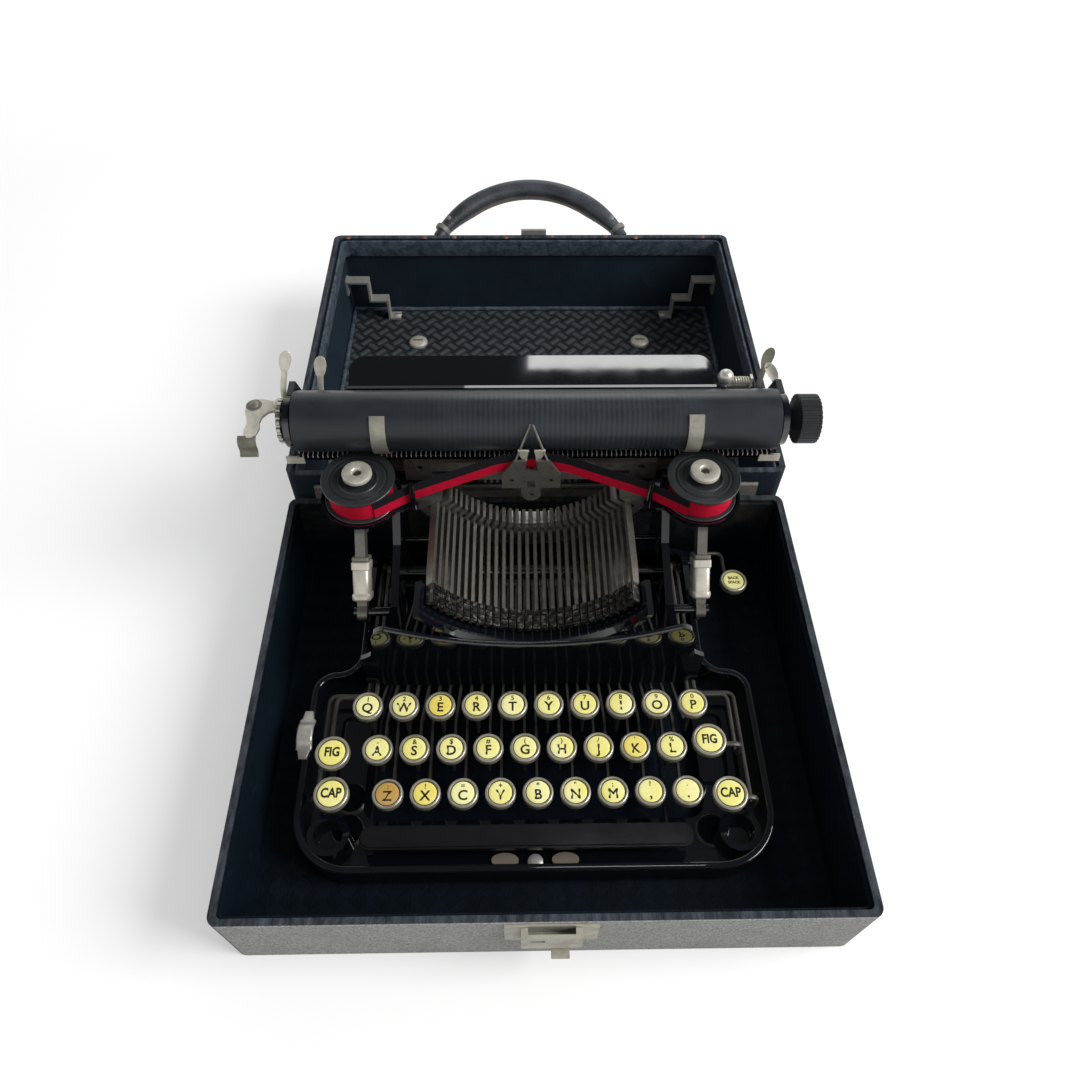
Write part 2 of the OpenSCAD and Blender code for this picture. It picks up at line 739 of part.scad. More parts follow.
// spool with hub nut; the wound ribbon fills it
module spool(s) {
    translate([machine_x + s * spool_x, spool_y, hub_z]) {
        color([0.06, 0.06, 0.06])
            difference() {
                union() {
                    cylinder(r = spool_r, h = 1);
                    cylinder(r = 6, h = spool_z - hub_z);
                    translate([0, 0, spool_z - hub_z - 1]) cylinder(r = spool_r, h = 1);
                    translate([0, 0, spool_z - hub_z]) cylinder(d = 9, h = 2);
                    translate([0, 0, spool_z - hub_z + 1.9]) cylinder(d = nut_d, h = 3);
                }
                translate([0, 0, -1]) cylinder(d = 4 + 2 * run_fit, h = 40);
            }
        color([0.5, 0.05, 0.08])
            translate([0, 0, 1.2])
                difference() {
                    cylinder(r = spool_r - 2, h = ribbon_w);
                    translate([0, 0, -1]) cylinder(r = 6, h = ribbon_w + 2);
                }
    }
}

module ribbon_spool_left() {
    spool(-1);
}

module ribbon_spool_right() {
    spool(1);
}

// ribbon from spool to spool, past the guide posts and up to the printing point
module ribbon() {
    zs = hub_z + 1.2;
    t = ribbon_t / 2 + 0.01;
    x_path = [-78.5, -60, -17, 0, 17, 60, 78.5];
    y_path = [67.5, guide_y + 2.2, 87.7, 89.4, 87.7, guide_y + 2.2, 67.5];
    x_side = [-80, -60, -17, 0, 17, 60, 80];
    z_side = [zs, zs, 102, 104, 102, zs, zs];
    color([0.6, 0.03, 0.08])
        translate([machine_x, 0, 0])
            intersection() {
                linear_extrude(150)
                    polygon(concat([for (i = [0:6]) [x_path[i], y_path[i] - t]],
                        [for (i = [6:-1:0]) [x_path[i], y_path[i] + t]]));
                translate([0, 150, 0]) rotate([90, 0, 0]) linear_extrude(150)
                    polygon(concat([for (i = [0:6]) [x_side[i], z_side[i]]],
                        [for (i = [6:-1:0]) [x_side[i], z_side[i] + ribbon_w]]));
            }
}

// plate that lifts the ribbon at the printing point, with the wire card holder
module type_guide() {
    color([0.42, 0.4, 0.37])
        translate([machine_x, 0, 0]) {
            translate([0, 87, 0]) rotate([90, 0, 0]) linear_extrude(1.5)
                difference() {
                    union() {
                        translate([-15, 92]) square([30, 10]);
                        translate([-5, 87]) square([10, 6]);
                        translate([0, 87]) circle(r = 5);
                        polygon([[-15, 102], [15, 102], [9, 112], [3, 112], [3, 105], [-3, 105], [-3, 112],
                            [-9, 112]]);
                    }
                    translate([0, 95]) square([4, 5], center = true);
                    translate([0, 87]) circle(d = 3);
                    for (s = [-1, 1]) translate([s * 10, 98]) circle(d = 2.4);
                }
            // foot that joins the plate to the front rail
            translate([-5, 86.9, 84.6]) cube([10, 11.1, 2.4]);
            // wire card holder, bent to a point above the printing line
            for (s = [-1, 1]) mirror([s > 0 ? 0 : 1, 0, 0])
                wire([8.4, 86.2, 110.6], [0.6, 92.3, 131], 1.2);
        }
}

module carriage_frame() {
    color([0.02, 0.02, 0.025])
        translate([cx, 0, 0])
            difference() {
                union() {
                    // end plates that hold the platen
                    for (s = [-1, 1])
                        side_plate(s > 0 ? plate_x : -plate_x - plate_t, plate_t)
                            union() {
                                translate([platen_y, platen_z]) circle(r = 13);
                                translate([128, 112]) circle(r = 6);
                                polygon([[104.5, 112], [104.5, 96], [106.5, 92.3], [117, 92.3], [121, 95],
                                    [133.7, 110], [131.5, 117], [124, 131], [114, 131]]);
                            }
                    // slide that rests on the track, scale bar and tie plate
                    translate([-plate_x - 1, 106, 92.1]) cube([2 * plate_x + 2, 10, 4]);
                    translate([-plate_x - 1, 101.7, 97.4]) cube([2 * plate_x + 2, 3.2, 2.6]);
                    translate([-plate_x - 1, 110, 95]) cube([2 * plate_x + 2, 2, 6.5]);
                    translate([-plate_x - 1, 104, 97.4]) cube([2 * plate_x + 2, 8, 1.6]);
                    translate([-plate_x - 1, 110, 99.5]) cube([2 * plate_x + 2, 8, 2.1]);
                    // post with its round head, right of the paper table
                    translate([94, 110, 99.5]) cube([6, 14, 2.1]);
                    wire([97, 122.5, 100.5], [97, 127, 130], 3);
                    translate([97, 127, 130]) sphere(d = 8);
                    // bracket and stud of the return lever
                    translate([-plate_x - 13, 117.6, 113]) cube([11.5, 5.2, 4]);
                    translate([-plate_x - 9.5, 120, 113]) cylinder(d = 3, h = 7);
                }
                x_rod(-200, 200, platen_y, platen_z, 8 + 2 * run_fit);
                x_rod(-200, 200, 128, 112, 3 + 2 * run_fit);
            }
}

module platen() {
    color([0.05, 0.06, 0.07])
        x_rod(cx - platen_len / 2, cx + platen_len / 2, platen_y, platen_z, platen_d);
    color([0.04, 0.04, 0.045])
        translate([cx, platen_y, platen_z]) rotate([0, 90, 0]) {
            translate([0, 0, platen_len / 2]) cylinder(d = 8, h = 9);
            translate([0, 0, platen_len / 2 + 7]) cylinder(d1 = 11, d2 = knob_d - 3, h = 3.5);
            translate([0, 0, platen_len / 2 + 10.5])
                difference() {
                    cylinder(d = knob_d, h = 10);
                    for (a = [0:12:359]) rotate([0, 0, a]) translate([knob_d / 2 + 0.5, 0, -1]) cylinder(d = 2, h = 12);
                }
            translate([0, 0, -platen_len / 2 - 9]) cylinder(d = 8, h = 9);
            translate([0, 0, -platen_len / 2 - 8])
                difference() {
                    cylinder(d = 22, h = 2);
                    for (a = [0:20:359]) rotate([0, 0, a]) translate([11.4, 0, -1]) cylinder(d = 2.4, h = 4);
                }
        }
}

module paper_table() {
    color([0.02, 0.02, 0.03])
        translate([cx - 2.2, 0, 0])
            intersection() {
                side_plate(-94, 188)
                    difference() {
                        union() {
                            translate([platen_y, platen_z]) circle(r = rubber_r + 3.2, $fn = 120);
                            translate([platen_y + rubber_r + 1, platen_z + 2]) rotate(22) square([21.5, 1.6]);
                        }
                        translate([platen_y, platen_z]) circle(r = rubber_r + 1.6, $fn = 120);
                        translate([platen_y - 40, platen_z - 40]) square([40, 90]);
                        translate([platen_y - 5, platen_z + 8.5]) square([30, 30]);
                        polygon([[platen_y, platen_z], [platen_y - 5, platen_z - 30], [platen_y + 6, platen_z - 30]]);
                    }
                translate([0, 0, platen_z - 30])
                    linear_extrude(60) rounded(-94, 94, platen_y - 30, platen_y + rubber_r + 20.3, 8);
            }
}

// two sprung nickel fingers that hug the front of the platen
module paper_fingers() {
    color([0.7, 0.67, 0.6])
        translate([cx, 0, 0])
            for (x = [-78, 78])
                side_plate(x - 3.75, 7.5) {
                    translate([platen_y, platen_z])
                        intersection() {
                            difference() {
                                circle(r = rubber_r + 1.2, $fn = 120);
                                circle(r = rubber_r + 0.4, $fn = 120);
                            }
                            polygon([[0, 0], [0, -30], [-40, -30], [-40, 53], [-22, 29]]);
                        }
                    translate([103.6, 100]) square([1, 4.3]);
                }
}

// four nickel finger levers on one rock shaft behind the platen
module release_levers() {
    color([0.75, 0.72, 0.66])
        translate([cx, 0, 0]) {
            x_rod(-plate_x - 9.5, plate_x + 6.5, 128, 112, 3);
            for (x = [-plate_x - 9.5, -plate_x + 10, plate_x - 6, plate_x + 5])
                side_plate(x, 1.6) {
                    translate([128, 112]) circle(r = 4.2);
                    polygon([[125.5, 114], [130.8, 111], [136.5, 132], [133.5, 133]]);
                    translate([136, 136]) circle(r = 4.6);
                }
        }
}

// line-space and return lever: flat arm and bent finger tab
module return_lever() {
    xp = cx - plate_x - 9.5;
    color([0.72, 0.69, 0.62])
        difference() {
            union() {
                translate([xp, 120, 117.1]) cylinder(r = 3.4, h = 1.6);
                translate([0, 0, 117.1]) linear_extrude(1.6)
                    polygon([[xp, 116.6], [xp - 8, 114.5], [xp - 9.5, 98], [xp - 15.5, 98], [xp - 17, 116],
                        [xp - 13, 124.5], [xp, 123.4]]);
                translate([xp - 19, 95, 108.6]) cube([9.5, 1.5, 10.1]);
                translate([xp - 15.5, 95, 117.1]) cube([6, 4, 1.6]);
            }
            translate([xp, 120, 110]) cylinder(d = 3 + 2 * run_fit, h = 12);
        }
}

case_tray();
case_lid();
lid_lining();
hinge_tray_leaf();
hinge_lid_leaf();
lid_fittings();
carry_handle();
latch_plate();
latch_button();
base_frame();
rubber_feet();
front_panel();
type_segment();
typebars();
letter_key(0, 0);  // key_q
letter_key(0, 1);  // key_w
letter_key(0, 2);  // key_e
letter_key(0, 3);  // key_r
letter_key(0, 4);  // key_t
letter_key(0, 5);  // key_y
letter_key(0, 6);  // key_u
letter_key(0, 7);  // key_i
letter_key(0, 8);  // key_o
letter_key(0, 9);  // key_p
letter_key(1, 0);  // key_a
letter_key(1, 1);  // key_s
letter_key(1, 2);  // key_d
letter_key(1, 3);  // key_f
letter_key(1, 4);  // key_g
letter_key(1, 5);  // key_h
letter_key(1, 6);  // key_j
letter_key(1, 7);  // key_k
letter_key(1, 8);  // key_l
letter_key(2, 0);  // key_z
letter_key(2, 1);  // key_x
letter_key(2, 2);  // key_c
letter_key(2, 3);  // key_v
letter_key(2, 4);  // key_b
letter_key(2, 5);  // key_n
letter_key(2, 6);  // key_m
letter_key(2, 7);  // key_comma
letter_key(2, 8);  // key_period
cap_keys();
fig_keys();
space_bar();
back_space_key();
shift_lock();
folding_frame();
arm_catches();
carriage_rail();
ribbon_spool_left();
ribbon_spool_right();
ribbon();
type_guide();
carriage_frame();
platen();
paper_table();
paper_fingers();
release_levers();
return_lever();
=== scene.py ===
"""Folding typewriter in its open carrying case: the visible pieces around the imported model."""
import math

import bmesh
import bpy
from bpy.props import FloatProperty, FloatVectorProperty, IntProperty, PointerProperty
from mathutils import Matrix, Vector


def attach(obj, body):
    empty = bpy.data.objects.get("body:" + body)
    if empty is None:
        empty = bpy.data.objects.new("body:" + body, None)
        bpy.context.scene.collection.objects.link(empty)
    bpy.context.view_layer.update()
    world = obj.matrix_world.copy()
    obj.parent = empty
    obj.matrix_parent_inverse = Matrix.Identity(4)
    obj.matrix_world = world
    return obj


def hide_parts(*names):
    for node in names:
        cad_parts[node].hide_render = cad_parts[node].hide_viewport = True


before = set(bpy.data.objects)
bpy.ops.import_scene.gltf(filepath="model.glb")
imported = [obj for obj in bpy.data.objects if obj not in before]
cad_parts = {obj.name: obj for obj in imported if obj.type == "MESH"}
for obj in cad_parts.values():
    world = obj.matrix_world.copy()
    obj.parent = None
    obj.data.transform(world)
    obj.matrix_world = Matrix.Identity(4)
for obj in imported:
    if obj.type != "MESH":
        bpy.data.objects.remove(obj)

bl_info = {
    "name": "Folding Typewriter",
    "version": (1, 0, 0),
    "blender": (4, 5, 0),
    "location": "3D View > Sidebar > Typewriter",
    "description": "Builds a folding typewriter standing in its open carrying case",
    "category": "Object",
}

# Pieces are drawn in millimetres until they are finished. The finishes work in metres.
MM = 0.001

# Middle of the machine and of its carriage, from left to right.
MACHINE_X = -4.0
CARRIAGE_X = -1.1

# Letter keys: each row stands nearer and lower, and a third of a pitch to the right.
KEY_ROWS = ("qwertyuiop", "asdfghjkl", "zxcvbnm,.")
UPPER_MARKS = ("1234567890", "-&$#()/'%", ":!=+*\";?.")
NODE_WORDS = {",": "comma", ".": "period"}
FIRST_KEY_X = -84.6
FIRST_KEY_Y = -13.9
FIRST_KEY_Z = 47.0
KEY_PITCH = 17.6
ROW_DEPTH = 20.1
ROW_DROP = 5.0
RING_RADIUS = 7.3
CUP_HEIGHT = 5.0

# Order of the finishes on every key.
LEVER = 0
RING = 1
DISC = 2
PRINT = 3

# Key levers: their edges, the bend in front, and the rod behind on which they stand closer together.
LEVER_LOW = 16.0
LEVER_HIGH = 20.0
LEVER_HALF = 0.6
BEND_Y = -9.0
ROD_Y = 76.0
ROD_Z = 18.0
ROD_SHARE = 0.78

# Case: rims of tray and lid, the tray's front face, and the inner faces of the lid's walls.
TRAY_RIM_Z = 50.0
TRAY_FRONT_Y = -115.0
LID_RIM_Z = 67.0
LID_SIDE_X = 138.3
LID_FAR_Y = 344.7

# Upper frame and carriage.
SPOOL_X = 87.0
SPOOL_Y = 82.5
SPOOL_Z = 89.5
RIBBON_WIDTH = 12.0
RELEASE_Y = 128.0
RELEASE_Z = 112.0
PLATE_TOP_Z = 118.6

# SIDEWAYS takes an outline of (y, z) pairs and lays its solid along x.
# UPRIGHT takes one of (x, z) pairs and lays it along y.
ALONG_X = (1.0, 0.0, 0.0)
LEVEL = Matrix.Identity(4)
SIDEWAYS = Matrix(((0, 0, 1, 0), (1, 0, 0, 0), (0, 1, 0, 0), (0, 0, 0, 1)))
UPRIGHT = Matrix(((1, 0, 0, 0), (0, 0, 1, 0), (0, 1, 0, 0), (0, 0, 0, 1)))

# Faces that meet at a sharper angle than this show an edge; degrees.
EDGE_ANGLE = 38.0

# Colours that age and wear add to the finishes, and the painted highlight on the typebars' bends.
WHITE = (1.0, 1.0, 1.0, 1.0)
FLOOR_DUST = (0.036, 0.033, 0.027, 1.0)
ENAMEL_DUST = (0.06, 0.06, 0.06, 1.0)
LIP_DARK = (0.011, 0.018, 0.027, 1.0)
LIP_RUBBED = (0.075, 0.092, 0.115, 1.0)
ARM_DARK = (0.035, 0.032, 0.028, 1.0)
ARM_BARE = (0.20, 0.185, 0.16, 1.0)
SCALE_WHITE = (0.55, 0.54, 0.50, 1.0)
RUST_DARK = (0.045, 0.018, 0.008, 1.0)
RUST_LIGHT = (0.16, 0.070, 0.028, 1.0)
BAR_LIGHT = (0.25, 0.24, 0.21, 1.0)
BAR_DARK = (0.13, 0.12, 0.10, 1.0)
SLUG_DARK = (0.012, 0.0115, 0.011, 1.0)
SLUG_LIGHT = (0.11, 0.105, 0.095, 1.0)
BEND_HIGHLIGHT = (0.42, 0.41, 0.37, 1.0)
KNOB_BLACK = (0.012, 0.013, 0.015, 1.0)


class CaseSettings(bpy.types.PropertyGroup):
    """Sizes and colours of the carrying case."""

    cloth_colour: FloatVectorProperty(
        name="Cloth Colour", description="Blue-black cloth that covers the case",
        subtype="COLOR", size=3, min=0.0, max=1.0, default=(0.0031, 0.0062, 0.0102))
    # Lighter blue-grey inside the lid: painted light, standing in for light from the front on its inner
    # walls.
    lid_lit_colour: FloatVectorProperty(
        name="Lit Lid Colour", description="Blue-grey of the cloth inside the lid",
        subtype="COLOR", size=3, min=0.0, max=1.0, default=(0.0110, 0.0180, 0.0265))
    worn_colour: FloatVectorProperty(
        name="Worn Colour", description="Grey of the cloth where it is rubbed",
        subtype="COLOR", size=3, min=0.0, max=1.0, default=(0.068, 0.080, 0.097))
    front_colour: FloatVectorProperty(
        name="Front Colour", description="Grey of the rough front face of the tray",
        subtype="COLOR", size=3, min=0.0, max=1.0, default=(0.33, 0.33, 0.315))
    lining_colour: FloatVectorProperty(
        name="Lining Colour", description="Colour of the woven panel in the lid",
        subtype="COLOR", size=3, min=0.0, max=1.0, default=(0.014, 0.017, 0.020))
    leather_colour: FloatVectorProperty(
        name="Leather Colour", description="Colour of the carrying handle",
        subtype="COLOR", size=3, min=0.0, max=1.0, default=(0.022, 0.026, 0.033))
    stitch_length: FloatProperty(
        name="Stitch Length", description="Length of one stitch on the handle",
        unit="LENGTH", min=0.001, max=0.006, default=0.0026)


class MachineSettings(bpy.types.PropertyGroup):
    """Colours and sizes of the typewriter itself."""

    enamel_colour: FloatVectorProperty(
        name="Enamel Colour", description="Colour of the baked enamel",
        subtype="COLOR", size=3, min=0.0, max=1.0, default=(0.0025, 0.0035, 0.0055))
    nickel_colour: FloatVectorProperty(
        name="Nickel Colour", description="Colour of the bright plated pieces",
        subtype="COLOR", size=3, min=0.0, max=1.0, default=(0.60, 0.575, 0.52))
    steel_colour: FloatVectorProperty(
        name="Steel Colour", description="Colour of the dull bare steel",
        subtype="COLOR", size=3, min=0.0, max=1.0, default=(0.22, 0.21, 0.19))
    roller_colour: FloatVectorProperty(
        name="Roller Colour", description="Colour of the rubber roller",
        subtype="COLOR", size=3, min=0.0, max=1.0, default=(0.018, 0.022, 0.027))
    ribbon_red: FloatVectorProperty(
        name="Ribbon Red", description="Colour of the lower half of the ribbon",
        subtype="COLOR", size=3, min=0.0, max=1.0, default=(0.42, 0.003, 0.024))


class KeySettings(bpy.types.PropertyGroup):
    """Sizes and colours of the keys."""

    disc_colour: FloatVectorProperty(
        name="Disc Colour", description="Cream of the key discs",
        subtype="COLOR", size=3, min=0.0, max=1.0, default=(0.73, 0.67, 0.19))
    aged_colour: FloatVectorProperty(
        name="Aged Disc Colour", description="Amber of the discs that have darkened",
        subtype="COLOR", size=3, min=0.0, max=1.0, default=(0.42, 0.25, 0.045))
    letter_height: FloatProperty(
        name="Letter Height", description="Height of the letter on a key",
        unit="LENGTH", min=0.001, max=0.006, default=0.0048)
    mark_height: FloatProperty(
        name="Mark Height", description="Height of the small upper mark on a key",
        unit="LENGTH", min=0.001, max=0.004, default=0.0025)
    round_steps: IntProperty(
        name="Round Steps", description="Number of faces round a key",
        min=12, max=96, default=40)


class StageSettings(bpy.types.PropertyGroup):
    """Camera, lamps and floor."""

    lens: FloatProperty(
        name="Lens", description="Focal length of the camera in millimetres",
        min=15.0, max=120.0, default=28.99)
    floor_colour: FloatVectorProperty(
        name="Floor Colour", description="Colour of the floor",
        subtype="COLOR", size=3, min=0.0, max=1.0, default=(0.58, 0.58, 0.58))
    soft_power: FloatProperty(
        name="Soft Lamp Power", description="Power of the large lamp above",
        unit="POWER", min=0.0, max=200.0, default=90.0)
    fill: FloatProperty(
        name="Fill Light", description="Strength of the light from all round",
        min=0.0, max=2.0, default=0.56)


def settings(part):
    """The settings of one part of the scene."""
    return getattr(bpy.context.scene, "typewriter_" + part)


def put(tree, kind, inputs=None, **options):
    """Add a shader node, set its options, and fill or link its inputs."""
    node = tree.nodes.new("ShaderNode" + kind)
    for key, value in options.items():
        setattr(node, key, value)
    for key, value in (inputs or {}).items():
        if isinstance(value, bpy.types.NodeSocket):
            tree.links.new(value, node.inputs[key])
        else:
            node.inputs[key].default_value = value
    return node


def noise(tree, place, scale, detail=3.0, rough=0.55, warp=0.0):
    """Cloudy value between 0 and 1."""
    found = put(tree, "TexNoise", {
        "Vector": place, "Scale": scale, "Detail": detail, "Roughness": rough, "Distortion": warp})
    return found.outputs["Fac"]


def axes(tree, place):
    """The x, y and z of a place."""
    return put(tree, "SeparateXYZ", {"Vector": place}).outputs


def grain(tree, place, scale):
    """Pebbled cells, as in leather and book cloth."""
    return put(tree, "TexVoronoi", {"Vector": place, "Scale": scale}).outputs["Distance"]


def bands(tree, place, scale, direction, **inputs):
    """Soft stripes that follow each other along X, Y or Z."""
    inputs.update({"Vector": place, "Scale": scale})
    return put(tree, "TexWave", inputs, bands_direction=direction).outputs["Fac"]


def sums(tree, operation, first, second=0.0):
    """Arithmetic on one or two values."""
    return put(tree, "Math", {0: first, 1: second}, operation=operation).outputs[0]


def product(tree, first, second):
    """Product of two values."""
    return sums(tree, "MULTIPLY", first, second)


def span(tree, value, low, high, start=0.0, end=1.0):
    """Stretch the range low..high of a value to start..end."""
    found = put(tree, "MapRange", {
        "Value": value, "From Min": low, "From Max": high, "To Min": start, "To Max": end})
    return found.outputs["Result"]


def inside(tree, value, low, high, soft=0.0001):
    """1 where a value lies between two limits, with soft ends."""
    above = span(tree, value, low, low + soft)
    below = span(tree, value, high, high - soft)
    return product(tree, above, below)


def tint(tree, amount, first, second):
    """First colour where the amount is 0, and the second where it is 1."""
    return put(tree, "MixRGB", {"Fac": amount, "Color1": first, "Color2": second}).outputs["Color"]


def relief(tree, height, depth, strength=1.0, under=None):
    """Bump of a given depth in metres."""
    inputs = {"Height": height, "Distance": depth, "Strength": strength}
    if under is not None:
        inputs["Normal"] = under
    return put(tree, "Bump", inputs).outputs["Normal"]


def shade(colour, factor=1.0):
    """Colour with its fourth channel, darkened or lightened by a factor."""
    return tuple(min(1.0, channel * factor) for channel in colour) + (1.0,)


def blank_finish(name):
    """New material, its shader and the place of a point in metres."""
    material = bpy.data.materials.new(name)
    material.use_nodes = True
    tree = material.node_tree
    shader = tree.nodes["Principled BSDF"]
    place = tree.nodes.new("ShaderNodeTexCoord").outputs["Object"]
    return material, tree, shader, place


def wire_up(tree, shader, **sockets):
    """Link what varies to the shader's sockets, and write plain numbers and colours on them."""
    for key, value in sockets.items():
        socket = shader.inputs[key.replace("_", " ").title().replace("Ior", "IOR")]
        if isinstance(value, bpy.types.NodeSocket):
            tree.links.new(value, socket)
        else:
            socket.default_value = value


def diagonal(tree, place):
    """Place turned by an eighth of a turn, for a pattern that runs slantwise."""
    turn = (0.0, 0.0, math.radians(45.0))
    return put(tree, "Mapping", {"Vector": place, "Rotation": turn}).outputs[0]


def stretched(tree, place, scale):
    """Place scaled by its own factor along each axis, for streaks and drawn lines."""
    return put(tree, "Mapping", {"Vector": place, "Scale": scale}).outputs[0]


def cloth_finish(name, rim_z, front_y, inner):
    """Grained cloth over board, rubbed grey on the rim and on the front face.

    rim_z and front_y are in metres, and inner is the colour inside the walls; inside the lid that colour is
    lighter, as painted light from the front.
    """
    case = settings("case")
    material, tree, shader, place = blank_finish(name)
    x, y, z = axes(tree, place)
    cells = grain(tree, place, 900.0)
    fine = noise(tree, place, 2600.0, 2.0)
    cloud = noise(tree, place, 22.0, 5.0, 0.6)
    scuff = span(tree, noise(tree, place, 75.0, 7.0, 0.68, 0.8), 0.60, 0.74)
    # Darker outside the walls than inside, with scuffs all over. Inside the lid the lighter colour is painted
    # light, as if its walls were lit from the front.
    colour = tint(tree, cloud, shade(case.cloth_colour, 0.7), shade(case.cloth_colour, 1.9))
    inner_tone = tint(tree, cloud, shade(inner, 0.6), shade(inner, 1.5))
    aside = sums(tree, "SUBTRACT", sums(tree, "ABSOLUTE", x), LID_SIDE_X * MM)
    beyond = sums(tree, "SUBTRACT", y, LID_FAR_Y * MM)
    within = span(tree, sums(tree, "MAXIMUM", aside, beyond), 0.0004, -0.0004)
    colour = tint(tree, within, colour, inner_tone)
    colour = tint(tree, product(tree, scuff, 0.13), colour, shade(case.worn_colour, 0.8))
    # Rim rubbed pale in short streaks.
    streaks = noise(tree, stretched(tree, place, (260.0, 60.0, 60.0)), 1.0, 6.0, 0.7)
    rim_tone = tint(tree, span(tree, streaks, 0.34, 0.68), shade(case.worn_colour, 0.16),
                    shade(case.worn_colour, 0.85))
    on_rim = span(tree, z, rim_z - 0.0016, rim_z - 0.0002)
    colour = tint(tree, on_rim, colour, rim_tone)
    # Small squares pressed into the cloth of the floor.
    squares = put(tree, "TexChecker", {"Vector": diagonal(tree, place), "Scale": 130.0}).outputs["Fac"]
    on_floor = span(tree, z, 0.0046, 0.0042)
    pressed = product(tree, product(tree, squares, on_floor), 0.3)
    colour = tint(tree, pressed, colour, shade(case.cloth_colour, 0.3))
    # Dust on the upper part of the tray's far wall.
    clouds = span(tree, noise(tree, place, 40.0, 6.0, 0.7, 0.6), 0.42, 0.62)
    dusty = product(tree, inside(tree, y, 0.1085, 0.1145), clouds)
    dusty = product(tree, dusty, span(tree, z, 0.012, 0.030))
    colour = tint(tree, product(tree, dusty, 0.7), colour, FLOOR_DUST)
    # Front face worn down to its speckled grey ground.
    specks = span(tree, noise(tree, place, 1100.0, 3.0, 0.7), 0.30, 0.62)
    patches = span(tree, noise(tree, place, 34.0, 5.0, 0.65, 0.5), 0.5, 0.75)
    face_tone = tint(tree, specks, shade(case.front_colour, 0.45), shade(case.front_colour, 1.12))
    face_tone = tint(tree, product(tree, patches, 0.5), face_tone, shade(case.front_colour, 0.55))
    on_front = span(tree, y, front_y + 0.0005, front_y + 0.0001)
    colour = tint(tree, on_front, colour, face_tone)
    height = sums(tree, "ADD", cells, product(tree, fine, 0.3))
    wire_up(tree, shader, base_color=colour, roughness=span(tree, cloud, 0.3, 0.7, 0.55, 0.75),
            normal=relief(tree, height, 0.00022, 0.8), specular_ior_level=0.05)
    return material


def lip_finish(name):
    """Cloth of the inner lip and the piping, rubbed pale along its high spots."""
    material, tree, shader, place = blank_finish(name)
    rubbed = noise(tree, place, 170.0, 7.0, 0.72, 0.7)
    cells = grain(tree, place, 800.0)
    colour = tint(tree, span(tree, rubbed, 0.34, 0.68), LIP_DARK, LIP_RUBBED)
    wire_up(tree, shader, base_color=colour, roughness=span(tree, rubbed, 0.3, 0.7, 0.6, 0.8),
            normal=relief(tree, cells, 0.0002, 0.7), specular_ior_level=0.08)
    return material


def lining_finish(name):
    """Black cloth pressed in a basket weave, lighter on its raised weave as painted light."""
    case = settings("case")
    material, tree, shader, place = blank_finish(name)
    turned = diagonal(tree, place)
    across = bands(tree, turned, 38.0, "X")
    along = bands(tree, turned, 38.0, "Y")
    checks = put(tree, "TexChecker", {"Vector": turned, "Scale": 121.0}).outputs["Fac"]
    weave = put(tree, "Mix", {"Factor": checks, "A": across, "B": along}).outputs["Result"]
    cloud = noise(tree, place, 30.0, 5.0, 0.6)
    thread = noise(tree, place, 1900.0, 2.0)
    # The raised weave is drawn lighter and the sunken weave darker: painted light on the pressed relief.
    colour = tint(tree, span(tree, weave, 0.35, 0.8), shade(case.lining_colour, 0.55),
                  shade(case.lining_colour, 2.6))
    colour = tint(tree, span(tree, cloud, 0.45, 0.75, 0.0, 0.35), colour, shade(case.lining_colour, 1.5))
    height = sums(tree, "ADD", weave, product(tree, thread, 0.2))
    wire_up(tree, shader, base_color=colour, roughness=span(tree, weave, 0.0, 1.0, 0.62, 0.46),
            normal=relief(tree, height, 0.0009, 1.0), specular_ior_level=0.3)
    return material


def enamel_coat(tree, shader, place, gloss=0.025):
    """Gloss black enamel with fine dust and hairlines; returns its colour, roughness and normal."""
    machine = settings("machine")
    cloud = noise(tree, place, 45.0, 5.0, 0.6)
    dust = span(tree, noise(tree, place, 900.0, 4.0, 0.75), 0.66, 0.84)
    lines = put(tree, "Mapping", {
        "Vector": place, "Rotation": (0.2, 0.3, 0.5), "Scale": (900.0, 40.0, 40.0)}).outputs[0]
    hair = noise(tree, lines, 1.0, 3.0)
    colour = tint(tree, product(tree, dust, 0.12), shade(machine.enamel_colour), ENAMEL_DUST)
    rough = span(tree, cloud, 0.35, 0.8, gloss, gloss + 0.05)
    rough = sums(tree, "ADD", rough, product(tree, dust, 0.10))
    ripple = sums(tree, "ADD", noise(tree, place, 90.0, 1.0), product(tree, hair, 0.03))
    wire_up(tree, shader, specular_ior_level=0.95)
    return colour, rough, relief(tree, ripple, 0.00003, 0.25)


def enamel_finish(name, lean=0.0):
    """Gloss black enamel; lean tips an upright face back by that slope."""
    material, tree, shader, place = blank_finish(name)
    colour, rough, normal = enamel_coat(tree, shader, place)
    if lean:
        height = axes(tree, place)["Z"]
        normal = relief(tree, product(tree, height, -lean), 1.0, 1.0, normal)
    wire_up(tree, shader, base_color=colour, roughness=rough, normal=normal)
    return material


def frame_finish(name):
    """Enamel of the folding frame, with the arms' faces worn to brown steel."""
    material, tree, shader, place = blank_finish(name)
    colour, rough, normal = enamel_coat(tree, shader, place, 0.04)
    x, _, z = axes(tree, place)
    arm_inner, arm_outer = 0.0843, 0.0903
    arm_foot, arm_top = 0.050, 0.0845
    aside = sums(tree, "ABSOLUTE", sums(tree, "SUBTRACT", x, MACHINE_X * MM))
    arm = product(tree, inside(tree, aside, arm_inner, arm_outer), inside(tree, z, arm_foot, arm_top, 0.002))
    cloud = noise(tree, place, 160.0, 6.0, 0.7, 0.4)
    bare = tint(tree, cloud, ARM_DARK, ARM_BARE)
    colour = tint(tree, arm, colour, bare)
    rough = sums(tree, "ADD", rough, product(tree, arm, 0.25))
    wire_up(tree, shader, base_color=colour, roughness=rough, normal=normal,
            metallic=product(tree, arm, 0.5))
    return material


